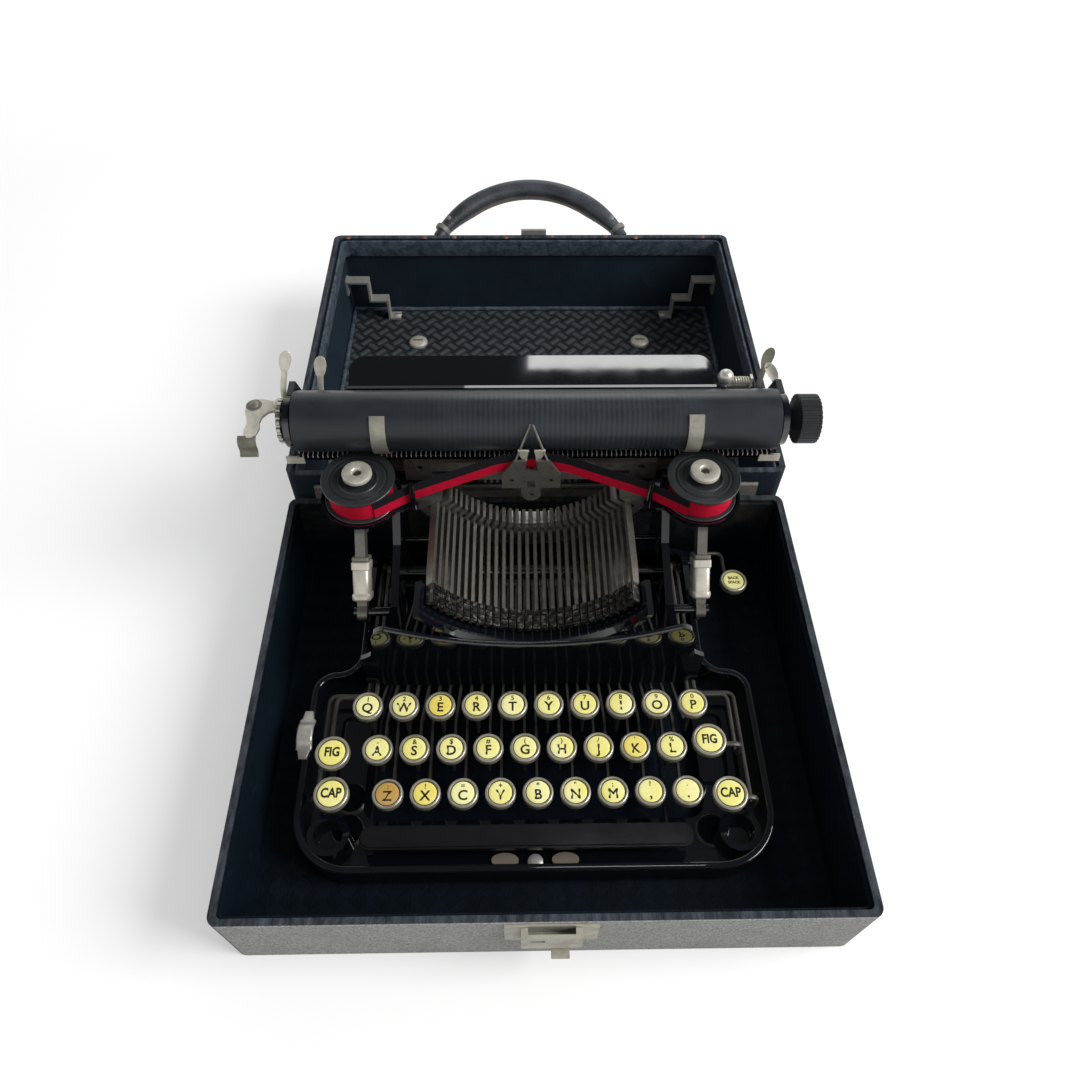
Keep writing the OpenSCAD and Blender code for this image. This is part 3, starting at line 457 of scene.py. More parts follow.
def carriage_finish(name):
    """Enamel of the carriage, with white marks on the scale and a nickel ball."""
    material, tree, shader, place = blank_finish(name)
    colour, rough, normal = enamel_coat(tree, shader, place, 0.04)
    x, y, z = axes(tree, place)
    half_pitch = 0.00127
    bar_low, bar_high = 0.0968, 0.1006
    bar = product(tree, inside(tree, z, bar_low, bar_high), span(tree, y, 0.1053, 0.1050))
    step = sums(tree, "PINGPONG", x, half_pitch)
    tick = product(tree, span(tree, step, 0.0003, 0.0002), bar)
    tick = product(tree, tick, span(tree, z, 0.0982, 0.0984))
    ball_spot = (0.0959, 0.127, 0.130)
    ball = put(tree, "VectorMath", {0: place, 1: ball_spot}, operation="DISTANCE").outputs["Value"]
    bright = span(tree, ball, 0.0056, 0.0054)
    colour = tint(tree, tick, colour, SCALE_WHITE)
    colour = tint(tree, bright, colour, shade(settings("machine").nickel_colour, 0.8))
    rough = sums(tree, "ADD", rough, product(tree, bright, 0.22))
    wire_up(tree, shader, base_color=colour, roughness=rough, normal=normal,
            metallic=product(tree, bright, 0.5))
    return material


def metal_finish(name, colour, polish, tarnish, rust, bare=0.6):
    """Plated or bare metal with clouded patches, fine scratches and some rust.

    polish is its least roughness, tarnish and rust are shares, and bare is how metallic it is.
    """
    material, tree, shader, place = blank_finish(name)
    cloud = noise(tree, place, 120.0, 6.0, 0.65, 0.4)
    fine = noise(tree, place, 1500.0, 3.0, 0.6)
    drawn = noise(tree, stretched(tree, place, (1800.0, 160.0, 160.0)), 1.0, 2.0)
    dull = span(tree, cloud, 0.42, 0.72, 0.0, tarnish)
    tone = tint(tree, dull, shade(colour), shade(colour, 0.42))
    pits = noise(tree, place, 260.0, 6.0, 0.72, 0.6)
    spots = span(tree, pits, 0.70 - rust * 0.22, 0.80 - rust * 0.18)
    rusty = tint(tree, fine, RUST_DARK, RUST_LIGHT)
    tone = tint(tree, spots, tone, rusty)
    rough = sums(tree, "ADD", span(tree, cloud, 0.3, 0.75, polish, polish + 0.20),
                 product(tree, fine, 0.10))
    rough = sums(tree, "ADD", rough, product(tree, spots, 0.4))
    height = sums(tree, "ADD", product(tree, drawn, 0.35), product(tree, spots, 0.8))
    wire_up(tree, shader, base_color=tone, roughness=rough, metallic=span(tree, spots, 0.0, 1.0, bare, 0.2),
            normal=relief(tree, height, 0.00003, 0.6))
    return material


def bar_finish(name):
    """Oiled steel of the typebars, darker and blotched at the slugs, with a painted highlight at the rear
    bends.
    """
    material, tree, shader, place = blank_finish(name)
    y = axes(tree, place)["Y"]
    cloud = noise(tree, place, 150.0, 6.0, 0.65, 0.4)
    drawn = noise(tree, stretched(tree, place, (1500.0, 90.0, 1500.0)), 1.0, 2.0)
    tone = tint(tree, span(tree, cloud, 0.35, 0.7), BAR_LIGHT, BAR_DARK)
    slug = span(tree, y, 0.0315, 0.0300)
    # Painted highlight where the bars bend at the rear.
    bend = span(tree, y, 0.0825, 0.0845)
    worn = span(tree, noise(tree, place, 420.0, 2.0, 0.5), 0.55, 0.66)
    tone = tint(tree, slug, tone, tint(tree, worn, SLUG_DARK, SLUG_LIGHT))
    tone = tint(tree, bend, tone, BEND_HIGHLIGHT)
    rough = span(tree, cloud, 0.3, 0.7, 0.26, 0.42)
    wire_up(tree, shader, base_color=tone, roughness=rough, metallic=span(tree, slug, 0.0, 1.0, 0.85, 0.4),
            normal=relief(tree, drawn, 0.00003, 0.5))
    return material


def disc_finish(name, colour):
    """Cream paper disc under a clear face, clouded with age."""
    material, tree, shader, place = blank_finish(name)
    age = noise(tree, place, 38.0, 2.0, 0.5)
    blotch = noise(tree, place, 240.0, 5.0, 0.6, 0.5)
    paler = [channel * factor for channel, factor in zip(colour, (1.0, 1.05, 1.8))]
    tone = tint(tree, span(tree, age, 0.38, 0.62), shade(colour, 0.94), shade(paler))
    tone = tint(tree, span(tree, blotch, 0.52, 0.80, 0.0, 0.35), tone, shade(colour, 0.62))
    wire_up(tree, shader, base_color=tone, roughness=span(tree, blotch, 0.2, 0.8, 0.22, 0.36),
            normal=relief(tree, blotch, 0.00002, 0.4), specular_ior_level=0.25,
            coat_weight=0.12, coat_roughness=0.08)
    return material


def plain_paint(name, colour, rough, grain_depth=0.00003, grain_scale=900.0):
    """Dark paint, ink or moulded stuff with a fine grain and uneven sheen."""
    material, tree, shader, place = blank_finish(name)
    fine = noise(tree, place, grain_scale, 4.0, 0.6)
    cloud = noise(tree, place, 70.0, 4.0, 0.6)
    tone = tint(tree, cloud, shade(colour, 0.72), shade(colour, 1.35))
    wire_up(tree, shader, base_color=tone, roughness=span(tree, cloud, 0.3, 0.7, rough * 0.85, rough * 1.2),
            normal=relief(tree, fine, grain_depth, 0.6))
    return material


def roller_finish(name):
    """Roller rubber with rows of faint type marks; black knob and nickel wheel at the ends."""
    machine = settings("machine")
    material, tree, shader, place = blank_finish(name)
    x = axes(tree, place)["X"]
    cloud = noise(tree, place, 60.0, 5.0, 0.6)
    fine = noise(tree, place, 1400.0, 3.0)
    marks = bands(tree, place, 125.0, "X", Distortion=1.2, Detail=2.0)
    middle = product(tree, span(tree, x, -0.07, -0.02), span(tree, x, 0.09, 0.05))
    worn = product(tree, marks, middle)
    tone = tint(tree, cloud, shade(machine.roller_colour, 0.6), shade(machine.roller_colour, 1.1))
    tone = tint(tree, product(tree, worn, 0.35), tone, shade(machine.roller_colour, 2.2))
    # Right of the first limit is the knob, and left of the second one the wheel.
    knob = span(tree, x, 0.1199, 0.1201)
    tone = tint(tree, knob, tone, KNOB_BLACK)
    wheel = span(tree, x, -0.1221, -0.1223)
    tone = tint(tree, wheel, tone, shade(machine.nickel_colour, 0.7))
    rough = span(tree, cloud, 0.3, 0.7, 0.27, 0.40)
    height = sums(tree, "ADD", product(tree, worn, 0.6), product(tree, fine, 0.4))
    wire_up(tree, shader, base_color=tone, roughness=rough, metallic=wheel,
            normal=relief(tree, height, 0.00005, 0.7), specular_ior_level=0.30)
    return material


def leather_finish(name, colour):
    """Creased leather, rubbed at its high spots."""
    material, tree, shader, place = blank_finish(name)
    cells = grain(tree, place, 700.0)
    creases = noise(tree, place, 240.0, 6.0, 0.7, 1.2)
    cloud = noise(tree, place, 50.0, 5.0, 0.6)
    tone = tint(tree, span(tree, cloud, 0.40, 0.70), shade(colour, 0.7), shade(colour, 1.9))
    tone = tint(tree, span(tree, creases, 0.62, 0.80, 0.0, 0.5), tone, shade(colour, 3.2))
    height = sums(tree, "ADD", product(tree, cells, 0.6), creases)
    wire_up(tree, shader, base_color=tone, roughness=span(tree, cloud, 0.3, 0.7, 0.36, 0.55),
            normal=relief(tree, height, 0.0003, 0.8))
    return material


def ribbon_finish(name, colour):
    """Inked cotton ribbon with a fine plain weave."""
    material, tree, shader, place = blank_finish(name)
    across = bands(tree, place, 900.0, "Z")
    along = bands(tree, place, 900.0, "X")
    weave = product(tree, across, along)
    cloud = noise(tree, place, 130.0, 4.0, 0.6)
    tone = tint(tree, cloud, shade(colour, 0.7), shade(colour, 1.25))
    wire_up(tree, shader, base_color=tone, roughness=0.8, normal=relief(tree, weave, 0.00006, 0.6),
            specular_ior_level=0.12)
    return material


def finish(name):
    """The material of that name, made on first use."""
    title = name + "_finish"
    found = bpy.data.materials.get(title)
    if found:
        return found
    case = settings("case")
    machine = settings("machine")
    keys = settings("keys")
    nickel = tuple(machine.nickel_colour)
    steel = tuple(machine.steel_colour)
    # The lid has no front face, so its front lies far off.
    nowhere = -9.0
    makers = {
        "tray_cloth": lambda: cloth_finish(
            title, TRAY_RIM_Z * MM, TRAY_FRONT_Y * MM, tuple(case.cloth_colour)),
        # Inside its walls the lid's cloth takes the lighter colour, as painted light.
        "lid_cloth": lambda: cloth_finish(title, LID_RIM_Z * MM, nowhere, tuple(case.lid_lit_colour)),
        "worn_cloth": lambda: lip_finish(title),
        "woven_lining": lambda: lining_finish(title),
        "black_enamel": lambda: enamel_finish(title),
        "panel_enamel": lambda: enamel_finish(title, 0.09),
        "bright_nickel": lambda: metal_finish(title, nickel, 0.20, 0.45, 0.04, 0.6),
        "key_nickel": lambda: metal_finish(title, (0.42, 0.40, 0.32), 0.22, 0.7, 0.12, 0.7),
        "aged_nickel": lambda: metal_finish(title, (0.18, 0.175, 0.155), 0.42, 0.7, 0.34, 0.4),
        "dull_steel": lambda: metal_finish(title, steel, 0.34, 0.9, 0.22, 0.9),
        "white_nickel": lambda: metal_finish(title, (0.58, 0.55, 0.47), 0.24, 0.6, 0.06, 0.5),
        "olive_steel": lambda: metal_finish(title, (0.17, 0.165, 0.13), 0.40, 0.6, 0.10, 0.5),
        "lever_steel": lambda: metal_finish(title, (0.080, 0.077, 0.068), 0.34, 0.7, 0.12, 0.7),
        "finger_steel": lambda: metal_finish(title, (0.29, 0.28, 0.235), 0.30, 0.7, 0.16, 0.55),
        "strap_steel": lambda: metal_finish(title, (0.22, 0.22, 0.20), 0.42, 0.4, 0.10, 0.15),
        "latch_nickel": lambda: metal_finish(title, (0.36, 0.345, 0.28), 0.42, 0.6, 0.42, 0.25),
        "tack_rust": lambda: metal_finish(title, (0.16, 0.07, 0.045), 0.55, 0.8, 0.5, 0.2),
        "bar_steel": lambda: bar_finish(title),
        "frame_enamel": lambda: frame_finish(title),
        "carriage_enamel": lambda: carriage_finish(title),
        "cream_disc": lambda: disc_finish(title, tuple(keys.disc_colour)),
        "yellow_disc": lambda: disc_finish(title, (0.68, 0.55, 0.08)),
        "amber_disc": lambda: disc_finish(title, tuple(keys.aged_colour)),
        "black_print": lambda: plain_paint(title, (0.018, 0.015, 0.010), 0.5),
        "spool_paint": lambda: plain_paint(title, (0.016, 0.018, 0.020), 0.34),
        "black_moulding": lambda: plain_paint(title, (0.006, 0.006, 0.008), 0.13, 0.00002),
        "foot_rubber": lambda: plain_paint(title, (0.016, 0.016, 0.016), 0.75, 0.0001, 500.0),
        "felt": lambda: plain_paint(title, (0.13, 0.11, 0.08), 0.95, 0.0003, 1500.0),
        "roller_rubber": lambda: roller_finish(title),
        "handle_leather": lambda: leather_finish(title, tuple(case.leather_colour)),
        "worn_leather": lambda: leather_finish(title, (0.075, 0.058, 0.046)),
        "stitch_thread": lambda: plain_paint(title, (0.05, 0.045, 0.04), 0.8),
        "ribbon_red": lambda: ribbon_finish(title, tuple(machine.ribbon_red)),
        "ribbon_black": lambda: ribbon_finish(title, (0.008, 0.008, 0.010)),
    }
    return makers[name]()


def skin(shape, rings, number, caps=True):
    """Join rings of points with faces, and close the two ends."""
    count = len(rings[0])
    for low, high in zip(rings, rings[1:]):
        for k in range(count):
            on = (k + 1) % count
            shape.faces.new((low[k], low[on], high[on], high[k])).material_index = number
    if caps:
        shape.faces.new(rings[0][::-1]).material_index = number
        shape.faces.new(rings[-1]).material_index = number


def lathe(shape, profile, place, number=0, steps=48):
    """Turn a profile of (radius, height) pairs round the z axis of a place."""
    before = None
    for radius, height in profile:
        if radius < 1e-6:
            ring = [shape.verts.new(place @ Vector((0.0, 0.0, height)))]
        else:
            ring = []
            for k in range(steps):
                angle = 2.0 * math.pi * k / steps
                spot = Vector((radius * math.cos(angle), radius * math.sin(angle), height))
                ring.append(shape.verts.new(place @ spot))
        if before is not None:
            for k in range(steps):
                on = (k + 1) % steps
                if len(before) == 1 and len(ring) > 1:
                    corners = (before[0], ring[on], ring[k])
                elif len(ring) == 1 and len(before) > 1:
                    corners = (before[k], before[on], ring[0])
                elif len(ring) > 1:
                    corners = (before[k], before[on], ring[on], ring[k])
                else:
                    break
                shape.faces.new(corners).material_index = number
        before = ring


def prism(shape, outline, low, high, place, number=0):
    """Upright solid over a flat outline of (x, y) pairs."""
    rings = []
    for height in (low, high):
        rings.append([shape.verts.new(place @ Vector((x, y, height))) for x, y in outline])
    skin(shape, rings, number)


def block(shape, low, high, number=0):
    """Square-cornered bar between two corners."""
    outline = ((low[0], low[1]), (high[0], low[1]), (high[0], high[1]), (low[0], high[1]))
    prism(shape, outline, low[2], high[2], LEVEL, number)


def eased(points, radius, steps=5):
    """Path with its corners rounded."""
    path = [points[0]]
    for before, here, after in zip(points, points[1:], points[2:]):
        back = before - here
        on = after - here
        cut = min(radius, back.length * 0.49, on.length * 0.49)
        start = here + back.normalized() * cut
        end = here + on.normalized() * cut
        for k in range(steps + 1):
            t = k / steps
            path.append(start * (1 - t) ** 2 + here * 2 * t * (1 - t) + end * t * t)
    path.append(points[-1])
    return path


def corner_arc(before, here, after, radius, steps=10):
    """Points of a true arc that rounds a square corner."""
    back = (before - here).normalized() * radius
    on = (after - here).normalized() * radius
    middle = here + back + on
    return [middle - on * math.cos(turn) - back * math.sin(turn)
            for turn in (math.pi / 2.0 * k / steps for k in range(steps + 1))]


def round_section(radius, sides=12):
    """Circle as (across, up) pairs."""
    turns = [2.0 * math.pi * k / sides for k in range(sides)]
    return [(radius * math.cos(turn), radius * math.sin(turn)) for turn in turns]


def soft_section(width, height, corner, steps=4):
    """Rectangle with round corners as (across, up) pairs."""
    section = []
    for k, (sx, sy) in enumerate(((1, 1), (-1, 1), (-1, -1), (1, -1))):
        for step in range(steps + 1):
            turn = math.pi / 2.0 * (k + step / steps)
            x = sx * (width / 2.0 - corner) + corner * math.cos(turn)
            y = sy * (height / 2.0 - corner) + corner * math.sin(turn)
            section.append((x, y))
    return section


def sweep(shape, path, section, number=0, up=Vector((0.0, 0.0, 1.0)), sizes=None):
    """Carry a section along a path; sizes scales it at each point."""
    rings = []
    side = None
    for i, spot in enumerate(path):
        ahead = (path[min(i + 1, len(path) - 1)] - path[max(i - 1, 0)]).normalized()
        if side is None:
            side = ahead.cross(up)
            if side.length < 1e-3:
                side = ahead.cross(Vector((1.0, 0.0, 0.0)))
        side = (side - ahead * side.dot(ahead)).normalized()
        over = side.cross(ahead)
        size = sizes[i] if sizes else 1.0
        rings.append([shape.verts.new(spot + side * (u * size) + over * (v * size)) for u, v in section])
    skin(shape, rings, number)


def at(x, y, z):
    """Place with the usual axes."""
    return Matrix.Translation((x, y, z))


def facing(x, y, z, direction):
    """Place whose z axis points along a direction."""
    turn = Vector(direction).to_track_quat("Z", "Y").to_matrix().to_4x4()
    return Matrix.Translation((x, y, z)) @ turn


def plate(shape, outline, thickness, place, number, edge):
    """Flat plate with eased edges over a closed outline of (x, y) pairs."""
    curve = bpy.data.curves.new("plate_outline", "CURVE")
    curve.dimensions = "2D"
    curve.fill_mode = "BOTH"
    curve.bevel_depth = edge
    curve.offset = -edge
    curve.bevel_resolution = 1
    curve.extrude = thickness / 2.0 - edge
    line = curve.splines.new("POLY")
    line.points.add(len(outline) - 1)
    for point, (x, y) in zip(line.points, outline):
        point.co = (x, y, 0.0, 1.0)
    line.use_cyclic_u = True
    take_curve(shape, curve, place, number)


def take_curve(shape, curve, place, number):
    """Add the faces of a curve or text to a shape."""
    holder = bpy.data.objects.new("holder", curve)
    bpy.context.scene.collection.objects.link(holder)
    mesh = bpy.data.meshes.new_from_object(holder.evaluated_get(bpy.context.evaluated_depsgraph_get()))
    known_verts = len(shape.verts)
    known_faces = len(shape.faces)
    shape.from_mesh(mesh)
    shape.verts.ensure_lookup_table()
    shape.faces.ensure_lookup_table()
    for vert in shape.verts[known_verts:]:
        vert.co = place @ vert.co
    for face in shape.faces[known_faces:]:
        face.material_index = number
    bpy.data.objects.remove(holder)
    bpy.data.meshes.remove(mesh)
    bpy.data.curves.remove(curve)


def circle(x, y, radius, steps=20, start=0.0, end=360.0):
    """Points of a circle or an arc; angles in degrees."""
    whole = abs(end - start) >= 360.0
    count = steps if whole else steps + 1
    turns = [math.radians(start + (end - start) * k / steps) for k in range(count)]
    return [(x + radius * math.cos(turn), y + radius * math.sin(turn)) for turn in turns]


def letters(shape, words, height, place, number, dome=None, bold=0.10):
    """Lettering centred on a place and laid onto a dome, given as its centre and its lift."""
    capital_share = 0.72
    curve = bpy.data.curves.new("legend", "FONT")
    curve.body = words
    curve.size = height / capital_share
    curve.align_x = "CENTER"
    curve.align_y = "CENTER"
    curve.resolution_u = 3
    curve.bevel_depth = bold
    curve.bevel_resolution = 0
    known = len(shape.verts)
    take_curve(shape, curve, place, number)
    if dome:
        centre, lift = dome
        for vert in shape.verts[known:]:
            away = (vert.co.xy - centre.xy).length
            vert.co.z = centre.z + lift(away)


def finish_piece(shape, name, body, finishes, replaces=(), bevel=0.0):
    """Turn a shape into a piece that rides on a body; finishes follow its material numbers."""
    bmesh.ops.recalc_face_normals(shape, faces=shape.faces)
    bmesh.ops.scale(shape, vec=(MM, MM, MM), verts=shape.verts)
    mesh = bpy.data.meshes.new(name)
    shape.to_mesh(mesh)
    shape.free()
    for word in finishes:
        mesh.materials.append(finish(word))
    mesh.shade_smooth()
    mesh.set_sharp_from_angle(angle=math.radians(EDGE_ANGLE))
    piece = bpy.data.objects.new(name, mesh)
    bpy.context.scene.collection.objects.link(piece)
    if bevel:
        soften(piece, bevel)
    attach(piece, body)
    if replaces:
        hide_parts(*replaces)
    return piece


def soften(piece, width, held=True):
    """Round the sharp edges of a piece by a width in millimetres; held keeps neighbours from crossing."""
    rounding = piece.modifiers.new("eased_edges", "BEVEL")
    rounding.width = width * MM
    rounding.segments = 2
    rounding.limit_method = "ANGLE"
    rounding.angle_limit = math.radians(EDGE_ANGLE)
    rounding.harden_normals = False
    rounding.use_clamp_overlap = held


def dress(node, word, bevel=0.0, held=True):
    """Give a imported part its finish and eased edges."""
    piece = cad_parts[node]
    piece.data.materials.clear()
    piece.data.materials.append(finish(word))
    if bevel:
        soften(piece, bevel, held)


def key_top(shape, x, y, z, radius):
    """Ring, dark gap and disc of one key; z is the height of the ring's top."""
    steps = settings("keys").round_steps
    size = radius / RING_RADIUS
    place = at(x, y, z - CUP_HEIGHT)
    cup = ((0.0, 0.0), (5.4, 0.0), (6.8, 0.45), (7.3, 1.5), (7.3, 4.05), (7.15, 4.6), (6.8, 4.93),
           (6.4, 5.0), (6.05, 4.86), (5.9, 4.55), (5.9, 4.1))
    # The narrow gap between ring and disc is drawn black all round, in the finish of the letters.
    gap = ((5.95, 4.2), (5.7, 4.22), (5.42, 4.22))
    face = ((5.46, 4.1), (5.44, 4.42), (5.25, 4.54), (4.0, 4.62), (2.4, 4.68), (1.0, 4.70), (0.0, 4.70))
    for profile, number in ((cup, RING), (gap, PRINT), (face, DISC)):
        lathe(shape, [(r * size, h) for r, h in profile], place, number, steps)


def dome_lift(size):
    """Height of the disc's face above the ring's foot, as a function of the distance from its middle."""
    middle = 4.735
    fall = 0.16
    reach = 5.25 * size

    def lift(away):
        return middle - fall * (away / reach) ** 2
    return lift


def lever_blade(shape, x, y_key, z_key):
    """Flat lever: upright under the key, straight to the bend, slanted to its hub on the rod."""
    half = LEVER_HALF
    low = LEVER_LOW
    high = LEVER_HIGH
    side = ((y_key - 2.0, 18.2), (y_key + 3.0, low), (BEND_Y, low), (BEND_Y, high), (y_key + 4.5, high),
            (y_key + 2.4, 22.5), (y_key + 1.7, z_key), (y_key - 1.7, z_key))
    prism(shape, side, x - half, x + half, SIDEWAYS, LEVER)
    # The blade ends inside the hub's ring, clear of the rod.
    rod_x = MACHINE_X + (x - MACHINE_X) * ROD_SHARE
    end_y = ROD_Y - 2.7
    end_x = x + (rod_x - x) * (end_y - BEND_Y) / (ROD_Y - BEND_Y)
    strip = ((x - half, BEND_Y), (x + half, BEND_Y), (end_x + half, end_y), (end_x - half, end_y))
    prism(shape, strip, low, high, LEVEL, LEVER)
    hub = ((2.1, -1.0), (3.2, -1.0), (3.4, -0.8), (3.4, 0.8), (3.2, 1.0), (2.1, 1.0), (2.1, -1.0))
    lathe(shape, hub, facing(rod_x, ROD_Y, ROD_Z, ALONG_X), LEVER, 24)


class TYPEWRITER_OT_stage(bpy.types.Operator):
    """Set up the camera, the lamps and the pale floor"""

    bl_idname = "typewriter.stage"
    bl_label = "Stage"

    def execute(self, context):
        stage = settings("stage")
        scene = context.scene
        scene.view_settings.view_transform = "Standard"
        self.camera(scene, stage)
        power = stage.soft_power
        self.lamp("soft_lamp", (2.1, -0.35, 1.8), (0.0, 0.1, 0.05), 1.4, 1.4, power)
        # The strip puts a white band on the paper table, and the lamp behind lights the far rims.
        self.lamp("strip_lamp", (0.17, 0.236, 1.25), (0.17, 0.236, 0.0), 0.32, 0.03, power * 0.0026)
        self.lamp("back_lamp", (0.15, 1.15, 0.85), (0.0, 0.08, 0.08), 0.5, 0.5, power * 0.03)
        self.surround(scene, stage)
        self.floor(scene, stage)
        return {"FINISHED"}

    def camera(self, scene, stage):
        """Camera that looks steeply down on the keys from in front."""
        spot = (-0.011226, -0.206882, 0.432495)
        pitch = math.radians(52.445)
        yaw = math.radians(1.523)
        roll = math.radians(0.790)
        camera_data = bpy.data.cameras.new("camera")
        camera_data.lens = stage.lens
        camera_data.sensor_width = 36.0
        camera_data.shift_x = 0.0078
        camera_data.shift_y = -0.0044
        camera_data.clip_start = 0.02
        camera = bpy.data.objects.new("camera", camera_data)
        scene.collection.objects.link(camera)
        ahead = Vector((math.sin(yaw) * math.cos(pitch), math.cos(yaw) * math.cos(pitch), -math.sin(pitch)))
        level = Vector((math.cos(yaw), -math.sin(yaw), 0.0))
        above = level.cross(ahead)
        right = level * math.cos(roll) + above * math.sin(roll)
        top = above * math.cos(roll) - level * math.sin(roll)
        basis = Matrix((right, top, -ahead)).transposed().to_4x4()
        camera.matrix_world = Matrix.Translation(spot) @ basis
        scene.camera = camera

    def lamp(self, name, spot, target, width, depth, power):
        """Flat lamp that looks at a target; lengths in metres."""
        data = bpy.data.lights.new(name, "AREA")
        data.shape = "RECTANGLE"
        data.size = width
        data.size_y = depth
        data.energy = power
        lamp = bpy.data.objects.new(name, data)
        lamp.location = spot
        lamp.rotation_euler = (Vector(target) - Vector(spot)).to_track_quat("-Z", "Y").to_euler()
        bpy.context.scene.collection.objects.link(lamp)

    def seen(self, tree):
        """1 where the camera or a reflection looks, else 0."""
        path = tree.nodes.new("ShaderNodeLightPath")
        either = sums(tree, "MAXIMUM", path.outputs["Is Camera Ray"], path.outputs["Is Glossy Ray"])
        return sums(tree, "MAXIMUM", either, path.outputs["Is Transmission Ray"])

    def surround(self, scene, stage):
        """White surroundings, darker overhead in reflections, whose light on the object is weaker."""
        world = bpy.data.worlds.new("surround")
        world.use_nodes = True
        tree = world.node_tree
        ground = tree.nodes["Background"]
        ground.inputs["Color"].default_value = WHITE
        direction = tree.nodes.new("ShaderNodeTexCoord").outputs["Generated"]
        height = axes(tree, direction)["Z"]
        look = span(tree, height, 0.45, 0.85, 1.0, 0.06)
        seen = self.seen(tree)
        strength = put(tree, "Mix", {"Factor": seen, "A": stage.fill, "B": look}).outputs["Result"]
        tree.links.new(strength, ground.inputs["Strength"])
        scene.world = world

    def floor(self, scene, stage):
        """Wide pale floor that keeps the soft shadow and turns white further off."""
        reach = 3.0
        below = 0.0002
        shape = bmesh.new()
        bmesh.ops.create_grid(shape, x_segments=2, y_segments=2, size=reach)
        mesh = bpy.data.meshes.new("floor")
        shape.to_mesh(mesh)
        shape.free()
        floor = bpy.data.objects.new("floor", mesh)
        scene.collection.objects.link(floor)
        floor.location.z = -below
        material, tree, shader, place = blank_finish("pale_floor")
        cloud = noise(tree, place, 4.0, 3.0)
        tone = tint(tree, cloud, shade(stage.floor_colour, 0.99), shade(stage.floor_colour, 1.01))
        away = put(tree, "VectorMath", {0: place}, operation="LENGTH").outputs["Value"]
        glow = span(tree, away, 0.7, 2.4, 0.32, 0.85)
        wire_up(tree, shader, base_color=tone, roughness=0.9, specular_ior_level=0.1,
                emission_color=WHITE, emission_strength=product(tree, self.seen(tree), glow))
        mesh.materials.append(material)


class TYPEWRITER_OT_case(bpy.types.Operator):
    """Cover the tray and the lid, and finish hinge, lining and fittings"""

    bl_idname = "typewriter.case"
    bl_label = "Case"

    def execute(self, context):
        dress("case_tray", "tray_cloth", 1.0)
        dress("case_lid", "lid_cloth", 1.0)
        dress("lid_lining", "woven_lining", 0.3)
        dress("hinge_tray_leaf", "aged_nickel")
        dress("hinge_lid_leaf", "aged_nickel")
        dress("lid_fittings", "strap_steel", 0.3)
        dress("latch_plate", "latch_nickel", 0.4)
        dress("latch_button", "latch_nickel", 0.4)
        self.fixings()
        self.binding()
        return {"FINISHED"}

    def fixings(self):
        """Stud heads and screws in the straps, their slots drawn as black strips of painted shade, and rusty
        tacks along the far rim.
        """
        metal, slot_shade, rust = 0, 1, 2
        head = ((0.0, 2.0), (3.0, 1.95), (5.2, 1.6), (6.3, 0.9), (6.5, 0.1), (0.0, 0.1))
        screw = ((0.0, 1.1), (1.6, 1.0), (2.5, 0.5), (2.7, 0.0), (0.0, 0.0))
        tack = ((0.0, 0.7), (0.9, 0.6), (1.5, 0.25), (1.7, 0.0), (0.0, 0.0))
        stud_y = 302.3
        strap_y = 333.3
        shape = bmesh.new()
        for side in (-1.0, 1.0):
            stud_x = side * 82.4 - 1.5
            strap_x = side * 101.0
            lathe(shape, head, at(stud_x, stud_y, 6.8), metal, 36)
            # A thin black strip on each head is painted shade for its slot.
            block(shape, (stud_x - 3.5, stud_y - 0.5, 8.6), (stud_x + 3.5, stud_y + 0.5, 8.87), slot_shade)
            lathe(shape, screw, at(strap_x, strap_y, 7.4), metal, 24)
            block(shape, (strap_x - 1.8, strap_y - 0.3, 8.3), (strap_x + 1.8, strap_y + 0.3, 8.56), slot_shade)
        for x in (-131.0, -76.4, -55.0, -17.9, 15.2, 53.8, 75.3, 124.0):
            unevenness = 0.9 * math.cos(x)
            lathe(shape, tack, at(x, 344.9 - unevenness, LID_RIM_Z - 0.1), rust, 16)
        finish_piece(shape, "lid.fixings", "lid", ("white_nickel", "black_print", "tack_rust"))

    def binding(self):
        """Worn cloth piping round the lining, and the inner lip below the rim of the lid."""
        shape = bmesh.new()
        piping_x = 134.4
        piping_z = 7.0
        near_y = 125.0
        far_y = 340.7
        steps = 26
        path = []
        corners = ((-piping_x, near_y), (-piping_x, far_y), (piping_x, far_y), (piping_x, near_y))
        for start, end in zip(corners, corners[1:]):
            for k in range(steps):
                t = k / steps
                x = start[0] + (end[0] - start[0]) * t
                y = start[1] + (end[1] - start[1]) * t
                wave = 0.35 * math.sin(x * 0.31 + y * 0.23) * math.sin(x * 0.11 + 1.0)
                path.append(Vector((x + wave * 0.3, y + wave, piping_z + 0.4 * wave)))
        path.append(Vector((piping_x, near_y, piping_z)))
        sweep(shape, path, round_section(1.7, 10))
        lip_x = 135.3
        lip_z = 60.0
        lip = [Vector((x, y, lip_z)) for x, y in (
            (-lip_x, 121.0), (-lip_x, 341.6), (lip_x, 341.6), (lip_x, 121.0))]
        sweep(shape, eased(lip, 5.0, 6), soft_section(1.5, 12.5, 0.6, 3))
        finish_piece(shape, "lid.binding", "lid", ("worn_cloth",))


